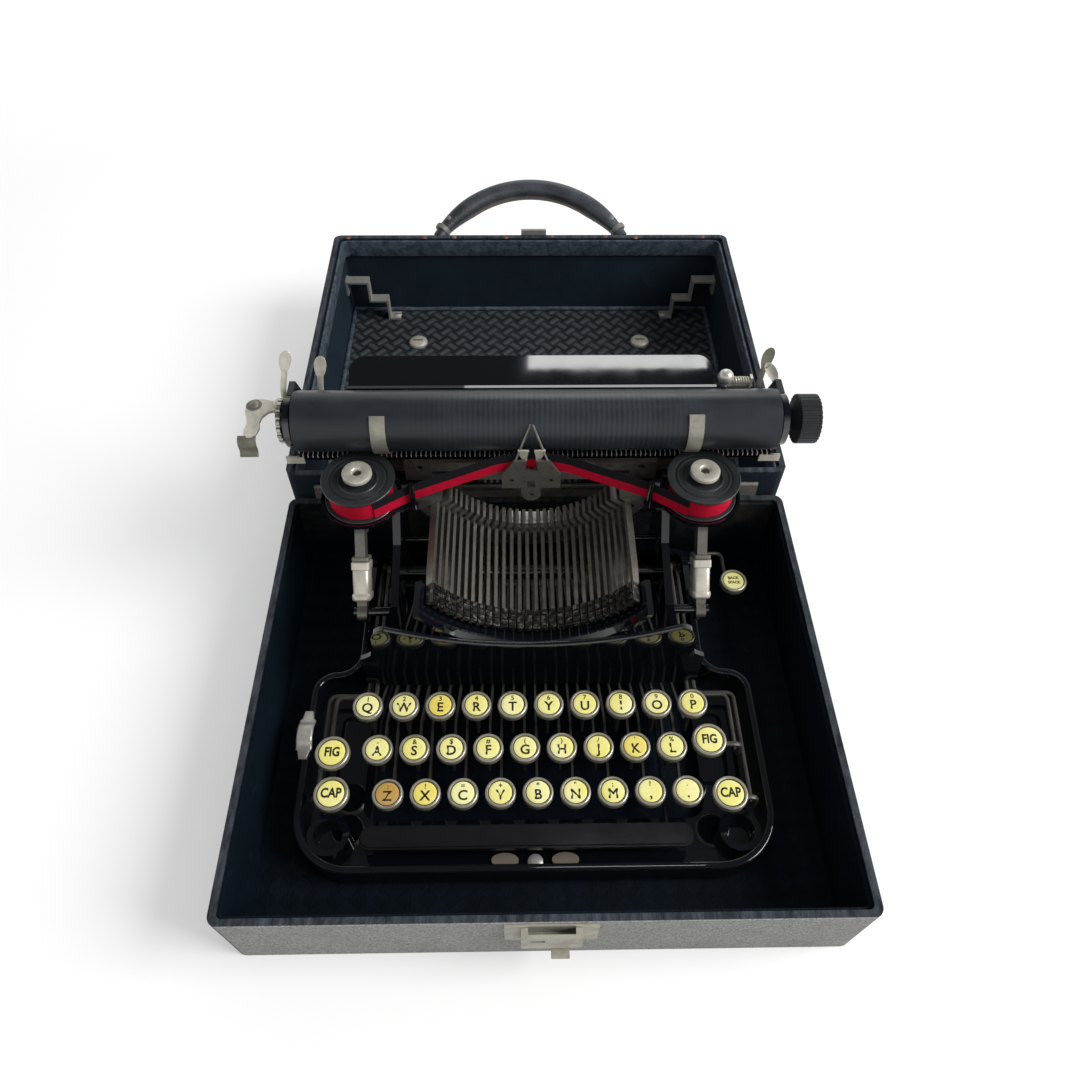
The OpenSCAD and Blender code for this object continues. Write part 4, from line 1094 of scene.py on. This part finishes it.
class TYPEWRITER_OT_handle(bpy.types.Operator):
    """Make the rolled leather handle with its seam, loops and rivets"""

    bl_idname = "typewriter.handle"
    bl_label = "Carrying Handle"

    def execute(self, context):
        tilt = Matrix.Translation((0.0, 355.3, 56.0)) @ Matrix.Rotation(math.radians(30.0), 4, "X")
        # The arch is an arc whose middle lies below the pivots; half is half its angle in degrees.
        radius = 78.48
        drop = -35.48
        half = 60.0
        thin = 8.4
        swell = 4.6
        leather, metal, seam_leather = 0, 1, 2
        shape = bmesh.new()
        roll = []
        seam = []
        roll_sizes = []
        seam_sizes = []
        count = 72
        for k in range(count + 1):
            turn = math.radians(90.0 - half + 2.0 * half * k / count)
            full = min(1.0, math.sin(math.pi * k / count) * 1.6)
            full = full * full * (3.0 - 2.0 * full)
            thick = thin + swell * full
            out = radius + 3.5 + full - thick / 2.0
            roll.append(tilt @ Vector((out * math.cos(turn), drop + out * math.sin(turn), 0.0)))
            roll_sizes.append(thick / (thin + swell))
            edge = radius - 2.0 - 4.6 * full
            seam.append(tilt @ Vector((edge * math.cos(turn), drop + edge * math.sin(turn), -0.4)))
            seam_sizes.append(0.55 + 0.45 * full)
        up = tilt.to_3x3() @ Vector((0.0, 0.0, 1.0))
        sweep(shape, roll, soft_section(13.0, 14.0, 5.8, 6), leather, up, roll_sizes)
        sweep(shape, seam, soft_section(4.4, 6.4, 1.6), seam_leather, up, seam_sizes)
        eye = ((1.7, -5.9), (3.6, -5.9), (4.4, -5.2), (4.5, -3.0), (4.5, 3.0), (4.4, 5.2), (3.6, 5.9),
               (1.7, 5.9), (1.7, -5.9))
        loop = ((4.0, -1.8), (5.0, -2.0), (5.7, -1.5), (5.9, 0.0), (5.7, 1.5), (5.0, 2.0), (4.0, 1.8))
        rivet = ((0.0, 1.1), (1.2, 0.95), (2.0, 0.5), (2.3, 0.0), (2.3, -0.4), (0.0, -0.4))
        for side in (-1.0, 1.0):
            lathe(shape, eye, tilt @ facing(side * 70.0, 0.0, 0.0, ALONG_X), leather, 28)
            turn = math.radians(90.0 - side * (half - 5.0))
            spot = Vector((radius * math.cos(turn), drop + radius * math.sin(turn), 0.0))
            along = Vector((-math.sin(turn), math.cos(turn), 0.0))
            lathe(shape, loop, tilt @ facing(spot.x, spot.y, 0.0, along), metal, 32)
            turn = math.radians(90.0 - side * (half - 11.0))
            spot = Vector((radius * math.cos(turn), drop + radius * math.sin(turn), 0.0))
            for face in (-1.0, 1.0):
                place = tilt @ facing(spot.x, spot.y, face * 4.7, (0.0, 0.0, face))
                lathe(shape, rivet, place, metal, 20)
        finish_piece(shape, "handle.arch", "handle",
                     ("handle_leather", "aged_nickel", "worn_leather"), ("carry_handle",))
        self.stitches(tilt, radius, drop, half)
        return {"FINISHED"}

    def stitches(self, tilt, radius, drop, half):
        """Row of stitches on each side of the seam."""
        shape = bmesh.new()
        clear = 18.0
        out = radius - 7.2
        thread = round_section(0.28, 6)
        step = math.degrees(settings("case").stitch_length / MM / radius)
        count = int(2.0 * (half - clear) / step)
        for face in (-1.0, 1.0):
            for k in range(count):
                middle = 90.0 - half + clear + step * (k + 0.5)
                ends = []
                for shift, lift in ((-0.36, 3.15), (0.0, 3.35), (0.36, 3.15)):
                    turn = math.radians(middle + step * shift)
                    height = face * lift - 0.4
                    ends.append(tilt @ Vector((out * math.cos(turn), drop + out * math.sin(turn), height)))
                sweep(shape, ends, thread)
        finish_piece(shape, "handle.stitches", "handle", ("stitch_thread",))


class TYPEWRITER_OT_base(bpy.types.Operator):
    """Finish the base, its feet and the front panel, and add screw, felt pads and rim bead"""

    bl_idname = "typewriter.base"
    bl_label = "Base"

    def execute(self, context):
        dress("base_frame", "black_enamel", 0.7, False)
        dress("rubber_feet", "foot_rubber", 0.4)
        dress("front_panel", "panel_enamel", 0.4)
        metal, pad, enamel = 0, 1, 2
        shape = bmesh.new()
        head = ((0.0, 1.75), (2.2, 1.7), (3.4, 1.2), (3.8, 0.4), (3.8, 0.0), (0.0, 0.0))
        lathe(shape, head, at(MACHINE_X, -80.0, 16.0), metal, 32)
        oval = [(u * 6.4, v * 3.3) for u, v in circle(0.0, 0.0, 1.0, 28)]
        for side in (-1.0, 1.0):
            prism(shape, oval, 15.9, 17.3, at(MACHINE_X + side * 14.2, -79.2, 0.0), pad)
        self.bead(shape, enamel)
        finish_piece(shape, "base.front_screw", "case_and_base",
                     ("bright_nickel", "felt", "black_enamel"))
        return {"FINISHED"}

    def bead(self, shape, number):
        """Rounded top of the raised rim, from neck to neck round the front."""
        half = 113.25
        neck = 90.25
        shoulder = 16.25
        front = -84.25
        back = 60.0
        rim_z = 22.0
        neck_bend, shoulder_bend, front_bend = 12.75, 10.25, 27.25
        corners = ((-neck, back), (-neck, shoulder), (-half, shoulder), (-half, front),
                   (half, front), (half, shoulder), (neck, shoulder), (neck, back))
        path = [Vector((MACHINE_X + x, y, rim_z)) for x, y in corners]
        bends = (neck_bend, shoulder_bend, front_bend, front_bend, shoulder_bend, neck_bend)
        route = [path[0]]
        for before, here, after, radius in zip(path, path[1:], path[2:], bends):
            route += corner_arc(before, here, after, radius)
        route.append(path[-1])
        sweep(shape, route, soft_section(3.3, 1.3, 0.64, 4), number)


class TYPEWRITER_OT_letter_keys(bpy.types.Operator):
    """Make the letter keys: lever, nickel ring, cream disc and legend"""

    bl_idname = "typewriter.letter_keys"
    bl_label = "Letter Keys"

    def execute(self, context):
        keys = settings("keys")
        letter_size = keys.letter_height / MM
        mark_size = keys.mark_height / MM
        for row, names in enumerate(KEY_ROWS):
            for col, letter in enumerate(names):
                x = FIRST_KEY_X + (col * 3 + row) * KEY_PITCH / 3.0
                y = FIRST_KEY_Y - ROW_DEPTH * row
                z = FIRST_KEY_Z - ROW_DROP * row
                node = "key_" + NODE_WORDS.get(letter, letter)
                shape = bmesh.new()
                lever_blade(shape, x, y, z - 4.6)
                key_top(shape, x, y, z, RING_RADIUS)
                dome = (Vector((x, y, z - CUP_HEIGHT)), dome_lift(1.0))
                letters(shape, letter.upper(), letter_size, at(x, y - 1.4, z), PRINT, dome, 0.15)
                letters(shape, UPPER_MARKS[row][col], mark_size, at(x, y + 3.2, z), PRINT, dome, 0.07)
                finish_piece(shape, node + ".top", node,
                             ("lever_steel", "key_nickel", self.disc(letter), "black_print"), (node,))
        return {"FINISHED"}

    def disc(self, letter):
        """Finish of a letter's disc; a few have darkened more than the rest."""
        if letter == "z":
            return "amber_disc"
        return "yellow_disc" if letter in "kxe" else "cream_disc"


class TYPEWRITER_OT_side_keys(bpy.types.Operator):
    """Make the shift keys, the back-spacer and the shift lock"""

    bl_idname = "typewriter.side_keys"
    bl_label = "Side Keys"

    def execute(self, context):
        self.shift_pair("cap_keys", "CAP", inner=85.5, outer=105.5, spots=((-95.0, -54.0), (91.6, -56.0)),
                        y_shaft=91.0, z_shaft=14.0, z_key=38.0, z_arm=18.7, y_crank=4.0)
        self.shift_pair("fig_keys", "FIG", inner=80.9, outer=101.0, spots=((-96.0, -35.5), (84.5, -31.0)),
                        y_shaft=84.0, z_shaft=22.0, z_key=42.0, z_arm=22.9, y_crank=1.0)
        self.back_spacer()
        self.lock()
        return {"FINISHED"}

    def shift_pair(self, node, legend, inner, outer, spots, y_shaft, z_shaft, z_key, z_arm, y_crank):
        """Two shift keys on their bent arms and common shaft.

        Each arm runs forward at inner, steps out to outer at y_crank, and rises to its key.
        """
        radius = 8.3
        hub = ((0.0, -1.2), (2.8, -1.2), (3.1, -0.9), (3.1, 0.9), (2.8, 1.2), (0.0, 1.2))
        z_foot = z_key - 6.2
        y_step = y_crank + 1.2
        shape = bmesh.new()
        for x_key, y_key in spots:
            side = -1.0 if x_key < 0 else 1.0
            near = side * inner
            far = side * outer
            corners = ((near, y_shaft, z_shaft), (near, y_shaft - 9.0, z_arm), (near, y_step, z_arm),
                       (far, y_step, z_arm), (far, y_key, z_arm), (far, y_key, z_foot),
                       (x_key, y_key, z_foot))
            points = [Vector((MACHINE_X + x, y, z)) for x, y, z in corners]
            sweep(shape, eased(points, 4.0), soft_section(2.2, 2.6, 0.8, 2), LEVER)
            x = MACHINE_X + x_key
            key_top(shape, x, y_key, z_key, radius)
            dome = (Vector((x, y_key, z_key - CUP_HEIGHT)), dome_lift(radius / RING_RADIUS))
            narrow = at(x, y_key, z_key) @ Matrix.Diagonal((0.80, 1.0, 1.0, 1.0))
            letters(shape, legend, 4.6, narrow, PRINT, dome, 0.22)
            lathe(shape, hub, facing(MACHINE_X + near, y_shaft, z_shaft, ALONG_X), LEVER, 24)
        shaft = [Vector((MACHINE_X + x, y_shaft, z_shaft)) for x in (-inner, inner)]
        sweep(shape, shaft, round_section(1.5, 20), LEVER)
        finish_piece(shape, node + ".pair", node,
                     ("lever_steel", "key_nickel", "cream_disc", "black_print"), (node,))

    def back_spacer(self):
        """Round key on a thin bent rod at the right of the machine."""
        shape = bmesh.new()
        x, y, z = 110.0, 69.0, 31.0
        radius = 7.5
        z_rod = 18.0
        corners = ((90.9, 91.0, z_rod), (91.1, 97.0, z_rod), (109.1, 97.0, z_rod), (109.1, y, z_rod),
                   (109.1, y, z - CUP_HEIGHT))
        sweep(shape, eased([Vector(corner) for corner in corners], 3.5), round_section(1.1, 12), LEVER)
        key_top(shape, x, y, z, radius)
        dome = (Vector((x, y, z - CUP_HEIGHT)), dome_lift(radius / RING_RADIUS))
        letters(shape, "BACK", 1.7, at(x, y + 1.6, z), PRINT, dome)
        letters(shape, "SPACE", 1.7, at(x, y - 1.4, z), PRINT, dome)
        hub = ((2.2, 0.0), (3.7, 0.0), (4.0, 0.3), (4.0, 1.9), (3.7, 2.2), (2.2, 2.2), (2.2, 0.0))
        lathe(shape, hub, facing(90.0, 91.0, z_rod, ALONG_X), LEVER, 24)
        finish_piece(shape, "back_spacer.key", "back_spacer",
                     ("dull_steel", "key_nickel", "cream_disc", "black_print"), ("back_space_key",))

    def lock(self):
        """Bright strap with a hump on the left rim."""
        shape = bmesh.new()
        x = MACHINE_X - 114.5
        y_middle = -18.0
        low = 22.9
        hump = 25.7
        path = [Vector((x, y_middle + y, z)) for y, z in (
            (-12.9, low), (-6.5, low), (-3.2, hump), (3.2, hump), (6.5, low), (12.9, low))]
        path = eased(path, 3.2, 6)
        ends = [min(1.0, 0.5 + min(k, len(path) - 1 - k) * 0.25) for k in range(len(path))]
        sweep(shape, path, soft_section(8.0, 1.8, 0.85, 4), 0, sizes=ends)
        finish_piece(shape, "shift_lock.strap", "shift_lock",
                     ("bright_nickel",), ("shift_lock",))


class TYPEWRITER_OT_space_bar(bpy.types.Operator):
    """Finish the space bar and its two arms"""

    bl_idname = "typewriter.space_bar"
    bl_label = "Space Bar"

    def execute(self, context):
        dress("space_bar", "black_moulding", 0.3)
        return {"FINISHED"}


class TYPEWRITER_OT_basket(bpy.types.Operator):
    """Finish the typebars and the slotted segment"""

    bl_idname = "typewriter.basket"
    bl_label = "Type Basket"

    def execute(self, context):
        dress("type_segment", "dull_steel", 0.2)
        dress("typebars", "bar_steel")
        return {"FINISHED"}


class TYPEWRITER_OT_upper_frame(bpy.types.Operator):
    """Finish the folding frame, rail and type guide, and make the catches and the guide's tips"""

    bl_idname = "typewriter.upper_frame"
    bl_label = "Folding Frame"

    def execute(self, context):
        dress("folding_frame", "frame_enamel", 0.3)
        self.sleeves()
        self.prongs()
        dress("carriage_rail", "dull_steel", 0.3)
        dress("type_guide", "dull_steel", 0.2)
        return {"FINISHED"}

    def prongs(self):
        """Two bright tips of the type guide in front of the ribbon."""
        shape = bmesh.new()
        tip = ((1.3, 117.6), (6.9, 118.0), (6.6, 115.6), (5.2, 112.4), (3.3, 109.4), (2.3, 110.2),
               (2.0, 113.4))
        foot = ((2.3, 110.6), (5.0, 111.6), (5.6, 104.0), (2.9, 104.0))
        for side in (-1.0, 1.0):
            for outline, near, far, number in ((tip, 87.5, 88.5, 0), (foot, 87.3, 88.1, 1)):
                prism(shape, [(MACHINE_X + side * x, z) for x, z in outline], near, far, UPRIGHT, number)
        finish_piece(shape, "type_guide.prongs", "upper_frame",
                     ("white_nickel", "dull_steel"), bevel=0.2)

    def sleeves(self):
        """Two ribbed nickel sleeves that slide on the arms."""
        shape = bmesh.new()
        bright, dull = 0, 1
        lean = Matrix.Rotation(math.radians(46.5), 4, "X")
        body = []
        for u, v in soft_section(8.6, 11.0, 2.2, 7):
            groove = 0.9 * math.exp(-(u / 0.7) ** 2) if v > 0.0 else 0.0
            body.append((u, v - groove))
        ridge = soft_section(9.8, 12.2, 2.4, 7)
        clip = soft_section(9.4, 11.8, 1.4, 7)
        tubes = (
            (body, ((8.2, 0.86), (8.8, 0.97), (9.6, 1.0), (24.0, 1.0), (24.4, 0.95)), bright),
            (ridge, ((6.4, 0.84), (6.9, 0.95), (7.8, 1.0), (9.6, 1.0), (10.2, 0.93)), bright),
            (clip, ((22.6, 0.94), (23.0, 1.0), (26.4, 1.0), (26.8, 0.93)), bright),
            (clip, ((27.2, 0.86), (27.5, 0.92), (28.8, 0.92), (29.2, 0.86)), dull),
        )
        for side in (-1.0, 1.0):
            place = at(MACHINE_X + side * 87.3, 38.0, 50.0) @ lean
            for section, stations, number in tubes:
                self.tube(shape, place, section, stations, number)
        finish_piece(shape, "arm_catches.sleeves", "arm_catches",
                     ("white_nickel", "olive_steel"), ("arm_catches",))

    def tube(self, shape, place, section, stations, number):
        """Closed skin round an arm, open at both ends; stations are (along, size) pairs."""
        bore_across = 2.65
        bore_up = 4.15
        rings = []
        for along, size in stations:
            rings.append([shape.verts.new(place @ Vector((u * size, along, v * size))) for u, v in section])
        last = stations[-1][0]
        first = stations[0][0]
        for along in (last, first):
            inner = []
            for u, v in section:
                reach = max(abs(u) / bore_across, abs(v) / bore_up)
                inner.append(shape.verts.new(place @ Vector((u / reach, along, v / reach))))
            rings.append(inner)
        rings.append(rings[0])
        skin(shape, rings, number, False)


class TYPEWRITER_OT_spools(bpy.types.Operator):
    """Make the two ribbon spools"""

    bl_idname = "typewriter.spools"
    bl_label = "Ribbon Spools"

    def execute(self, context):
        paint, nickel, wound_ribbon, dark = 0, 1, 2, 3
        low = ((2.1, 0.0), (18.2, 0.0), (18.5, 0.3), (18.5, 0.8), (18.2, 1.1), (2.1, 1.1))
        wound = ((15.9, 1.1), (16.4, 1.4), (16.5, 6.0), (16.4, 12.8), (15.9, 13.5))
        high = ((2.1, 13.4), (18.1, 13.4), (18.5, 13.6), (18.5, 14.3), (18.3, 14.5), (15.0, 14.5),
                (14.7, 14.35), (14.5, 13.9), (14.0, 13.9), (13.8, 14.3), (13.2, 14.45), (12.7, 14.3),
                (12.5, 14.0), (10.3, 13.95), (10.0, 14.3), (9.5, 14.4), (9.1, 14.3), (8.8, 13.7), (2.1, 13.6))
        neck = ((4.5, 13.6), (4.5, 16.5), (2.1, 16.5))
        nut = ((4.4, 16.4), (7.1, 16.4), (7.5, 16.8), (7.5, 18.7), (7.2, 19.2), (6.6, 19.4), (3.2, 19.4),
               (2.6, 19.1), (2.1, 18.2), (2.1, 13.6))
        post = ((0.0, 18.0), (1.4, 17.9), (1.9, 17.5), (1.9, 13.6))
        turned = ((low, paint, 64), (wound, wound_ribbon, 64), (high, paint, 64), (neck, dark, 32),
                  (nut, nickel, 48), (post, dark, 20))
        for side, word in ((-1.0, "left"), (1.0, "right")):
            shape = bmesh.new()
            place = at(MACHINE_X + side * SPOOL_X, SPOOL_Y, SPOOL_Z)
            for profile, number, steps in turned:
                lathe(shape, profile, place, number, steps)
            node = "ribbon_spool_" + word
            finish_piece(shape, "spool_%s.body" % word, "spool_" + word,
                         ("spool_paint", "white_nickel", "ribbon_red", "black_print"), (node,))
        return {"FINISHED"}


class TYPEWRITER_OT_ribbon(bpy.types.Operator):
    """Stretch the two-coloured ribbon from spool to spool"""

    bl_idname = "typewriter.ribbon"
    bl_label = "Ribbon"

    def execute(self, context):
        red, black = 0, 1
        half = [(78.5, 67.5, 90.7), (60.0, 79.4, 90.7), (17.0, 87.7, 102.0), (0.0, 89.4, 104.0)]
        route = [Vector((MACHINE_X - x, y, z)) for x, y, z in half]
        route += [Vector((MACHINE_X + x, y, z)) for x, y, z in reversed(half[:-1])]
        path = eased(route, 3.0, 6)
        shape = bmesh.new()
        rows = (0.0, 0.35, 3.0, 6.0, 9.0, 11.65, RIBBON_WIDTH)
        rings = [[shape.verts.new(spot + Vector((0.0, 0.0, row))) for row in rows] for spot in path]
        for low, high in zip(rings, rings[1:]):
            for k in range(len(rows) - 1):
                face = shape.faces.new((low[k], high[k], high[k + 1], low[k + 1]))
                face.material_index = red if rows[k] < RIBBON_WIDTH / 2.0 else black
        ribbon = finish_piece(shape, "ribbon.strip", "upper_frame",
                              ("ribbon_red", "ribbon_black"), ("ribbon",))
        return {"FINISHED"}


class TYPEWRITER_OT_carriage(bpy.types.Operator):
    """Finish the carriage, the roller, the paper table and the levers"""

    bl_idname = "typewriter.carriage"
    bl_label = "Carriage"

    def execute(self, context):
        dress("carriage_frame", "carriage_enamel", 0.3)
        dress("platen", "roller_rubber", 0.4)
        dress("paper_table", "black_enamel", 0.3)
        dress("paper_fingers", "finger_steel", 0.2)
        self.release_levers()
        self.return_lever()
        self.small_pieces()
        return {"FINISHED"}

    def release_levers(self):
        """Spoon-shaped thumb pieces on thin stems along their common shaft."""
        shape = bmesh.new()
        bright, dull = 0, 1
        shaft = [Vector((CARRIAGE_X + x, RELEASE_Y, RELEASE_Z)) for x in (-133.0, 128.5)]
        sweep(shape, shaft, round_section(1.5, 16), dull)
        hub = ((1.6, -1.3), (2.8, -1.3), (3.1, -1.0), (3.1, 1.0), (2.8, 1.3), (1.6, 1.3))
        spoons = ((-131.2, -128.1, 135.6, 133.5, bright), (-111.7, -110.4, 134.2, 131.0, bright),
                  (115.7, 119.0, 136.0, 134.0, dull), (126.7, 122.3, 133.0, 127.5, bright))
        for x_foot, x_tip, y_tip, z_tip, number in spoons:
            foot = Vector((CARRIAGE_X + x_foot, RELEASE_Y, RELEASE_Z))
            tip = Vector((CARRIAGE_X + x_tip, y_tip, z_tip))
            knee = foot + Vector((0.0, 1.5, 7.5))
            lean = (tip - knee).normalized()
            stem = eased([foot, knee, tip - lean * 4.0], 4.0)
            sweep(shape, stem, soft_section(3.0, 1.5, 0.6, 2), number, Vector((0.0, -1.0, 0.6)))
            across = Vector(ALONG_X)
            face = across.cross(lean).normalized()
            basis = Matrix((across, lean, face)).transposed().to_4x4()
            self.spoon(shape, Matrix.Translation(tip) @ basis, number)
            lathe(shape, hub, facing(foot.x, foot.y, foot.z, ALONG_X), dull, 20)
        finish_piece(shape, "carriage.release_levers", "release_levers",
                     ("white_nickel", "olive_steel"), ("release_levers",))

    def spoon(self, shape, place, number):
        """Dished oval plate, wider towards its tip."""
        half_width = 3.1
        half_length = 6.2
        widening = 0.22
        rings = []
        for size, depth in ((0.05, -0.55), (0.45, -0.45), (0.8, -0.1), (0.96, 0.3), (1.0, 0.5), (0.97, 0.75),
                            (0.8, 0.6), (0.45, 0.35), (0.05, 0.25)):
            ring = []
            for x, y in circle(0.0, 0.0, 1.0, 28):
                width = half_width * (1.0 + widening * y)
                spot = Vector((x * width * size, y * half_length * size, depth))
                ring.append(shape.verts.new(place @ spot))
            rings.append(ring)
        skin(shape, rings, number)

    def return_lever(self):
        """Flat plate with a screw, and the curved thumb piece under its end."""
        shape = bmesh.new()
        bright, dull = 0, 1
        x = CARRIAGE_X - 131.2
        outline = ((2.4, 117.4), (-1.5, 116.2), (-5.5, 114.6), (-7.9, 111.5), (-8.6, 107.5),
                   (-7.9, 103.6), (-8.8, 99.4), (-10.8, 97.4), (-13.4, 97.2), (-15.2, 99.0),
                   (-15.6, 102.6), (-14.9, 106.6), (-15.8, 111.0), (-17.4, 115.2), (-17.6, 119.4),
                   (-16.2, 122.8), (-13.2, 124.6), (-9.0, 124.2), (-5.0, 123.0), (-1.0, 123.2),
                   (2.4, 122.4))
        thick = 1.6
        plate(shape, outline, thick, at(x, 0.0, 117.9), bright, 0.35)
        screw = ((0.0, 1.6), (1.7, 1.5), (2.7, 0.9), (3.0, 0.2), (3.0, 0.0), (0.0, 0.0))
        washer = ((3.0, 0.3), (3.9, 0.3), (4.1, 0.1), (4.1, 0.0), (3.0, 0.0))
        for profile in (screw, washer):
            lathe(shape, profile, at(x - 13.4, 119.6, PLATE_TOP_Z), dull, 28)
        hub = ((0.0, 3.0), (2.4, 2.9), (3.2, 2.3), (3.4, 1.4), (3.4, -1.4), (0.0, -1.4))
        lathe(shape, hub, at(x, 120.0, 118.0), bright, 28)
        path = [Vector((x - 13.6, y, z)) for y, z in (
            (98.6, 117.6), (96.4, 117.0), (95.3, 114.6), (95.6, 111.8), (95.2, 109.4), (93.4, 108.2))]
        sweep(shape, eased(path, 1.5, 3), soft_section(9.2, 1.3, 0.5, 3), dull, Vector((0.0, 1.0, 0.3)))
        finish_piece(shape, "carriage.return_lever", "return_lever",
                     ("white_nickel", "olive_steel"), ("return_lever",))

    def small_pieces(self):
        """Coil spring on its bracket, a strap with its disc at the right end, and a tab at each end."""
        shape = bmesh.new()
        bright, dull = 0, 1
        coil = []
        turns = 7
        sides = 12
        start = 99.5
        length = 9.0
        radius = 1.7
        for k in range(turns * sides + 1):
            turn = 2.0 * math.pi * k / sides
            x = start + length * k / (turns * sides)
            coil.append(Vector((x, 127.0 + radius * math.cos(turn), 127.6 + radius * math.sin(turn))))
        sweep(shape, coil, round_section(0.42, 6), bright)
        block(shape, (97.5, 125.6, 123.6), (110.5, 128.6, 124.8), dull)
        block(shape, (108.6, 125.4, 123.6), (109.8, 128.8, 130.2), bright)
        strap = [Vector((124.9, y, z)) for y, z in ((125.0, 118.4), (120.0, 116.4), (113.5, 113.2))]
        sweep(shape, eased(strap, 4.0), soft_section(2.0, 0.9, 0.3), bright, Vector(ALONG_X))
        disc = ((0.0, 2.0), (2.2, 1.9), (3.6, 1.3), (4.2, 0.4), (4.2, 0.0), (0.0, 0.0))
        lathe(shape, disc, facing(123.7, 112.9, 112.8, ALONG_X), bright, 28)
        for low, high in ((-131.0, -121.6), (115.6, 126.6)):
            block(shape, (low, 101.4, 94.2), (high, 102.6, 98.8), bright)
        finish_piece(shape, "carriage.small_pieces", "carriage",
                     ("white_nickel", "olive_steel"))


class TYPEWRITER_PT_pieces(bpy.types.Panel):
    """Lists the steps that build the typewriter"""

    bl_idname = "TYPEWRITER_PT_pieces"
    bl_label = "Typewriter"
    bl_space_type = "VIEW_3D"
    bl_region_type = "UI"
    bl_category = "Typewriter"

    def draw(self, context):
        layout = self.layout
        for step in STEPS:
            layout.operator(step.bl_idname)
        for part, group in GROUPS.items():
            box = layout.box()
            box.label(text=part.title())
            for name in group.__annotations__:
                box.prop(getattr(context.scene, "typewriter_" + part), name)


GROUPS = {"case": CaseSettings, "machine": MachineSettings, "keys": KeySettings, "stage": StageSettings}
STEPS = (
    TYPEWRITER_OT_stage,
    TYPEWRITER_OT_case,
    TYPEWRITER_OT_handle,
    TYPEWRITER_OT_base,
    TYPEWRITER_OT_letter_keys,
    TYPEWRITER_OT_side_keys,
    TYPEWRITER_OT_space_bar,
    TYPEWRITER_OT_basket,
    TYPEWRITER_OT_upper_frame,
    TYPEWRITER_OT_spools,
    TYPEWRITER_OT_ribbon,
    TYPEWRITER_OT_carriage,
)


def register():
    """Register the settings, the steps and the panel."""
    for part, group in GROUPS.items():
        bpy.utils.register_class(group)
        setattr(bpy.types.Scene, "typewriter_" + part, PointerProperty(type=group))
    for step in STEPS:
        bpy.utils.register_class(step)
    bpy.utils.register_class(TYPEWRITER_PT_pieces)


def unregister():
    """Take them away again."""
    bpy.utils.unregister_class(TYPEWRITER_PT_pieces)
    for step in reversed(STEPS):
        bpy.utils.unregister_class(step)
    for part, group in GROUPS.items():
        delattr(bpy.types.Scene, "typewriter_" + part)
        bpy.utils.unregister_class(group)


def main():
    """Build every piece in order."""
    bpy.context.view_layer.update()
    register()
    for step in STEPS:
        family, word = step.bl_idname.split(".")
        getattr(getattr(bpy.ops, family), word)()


if __name__ == "__main__":
    main()
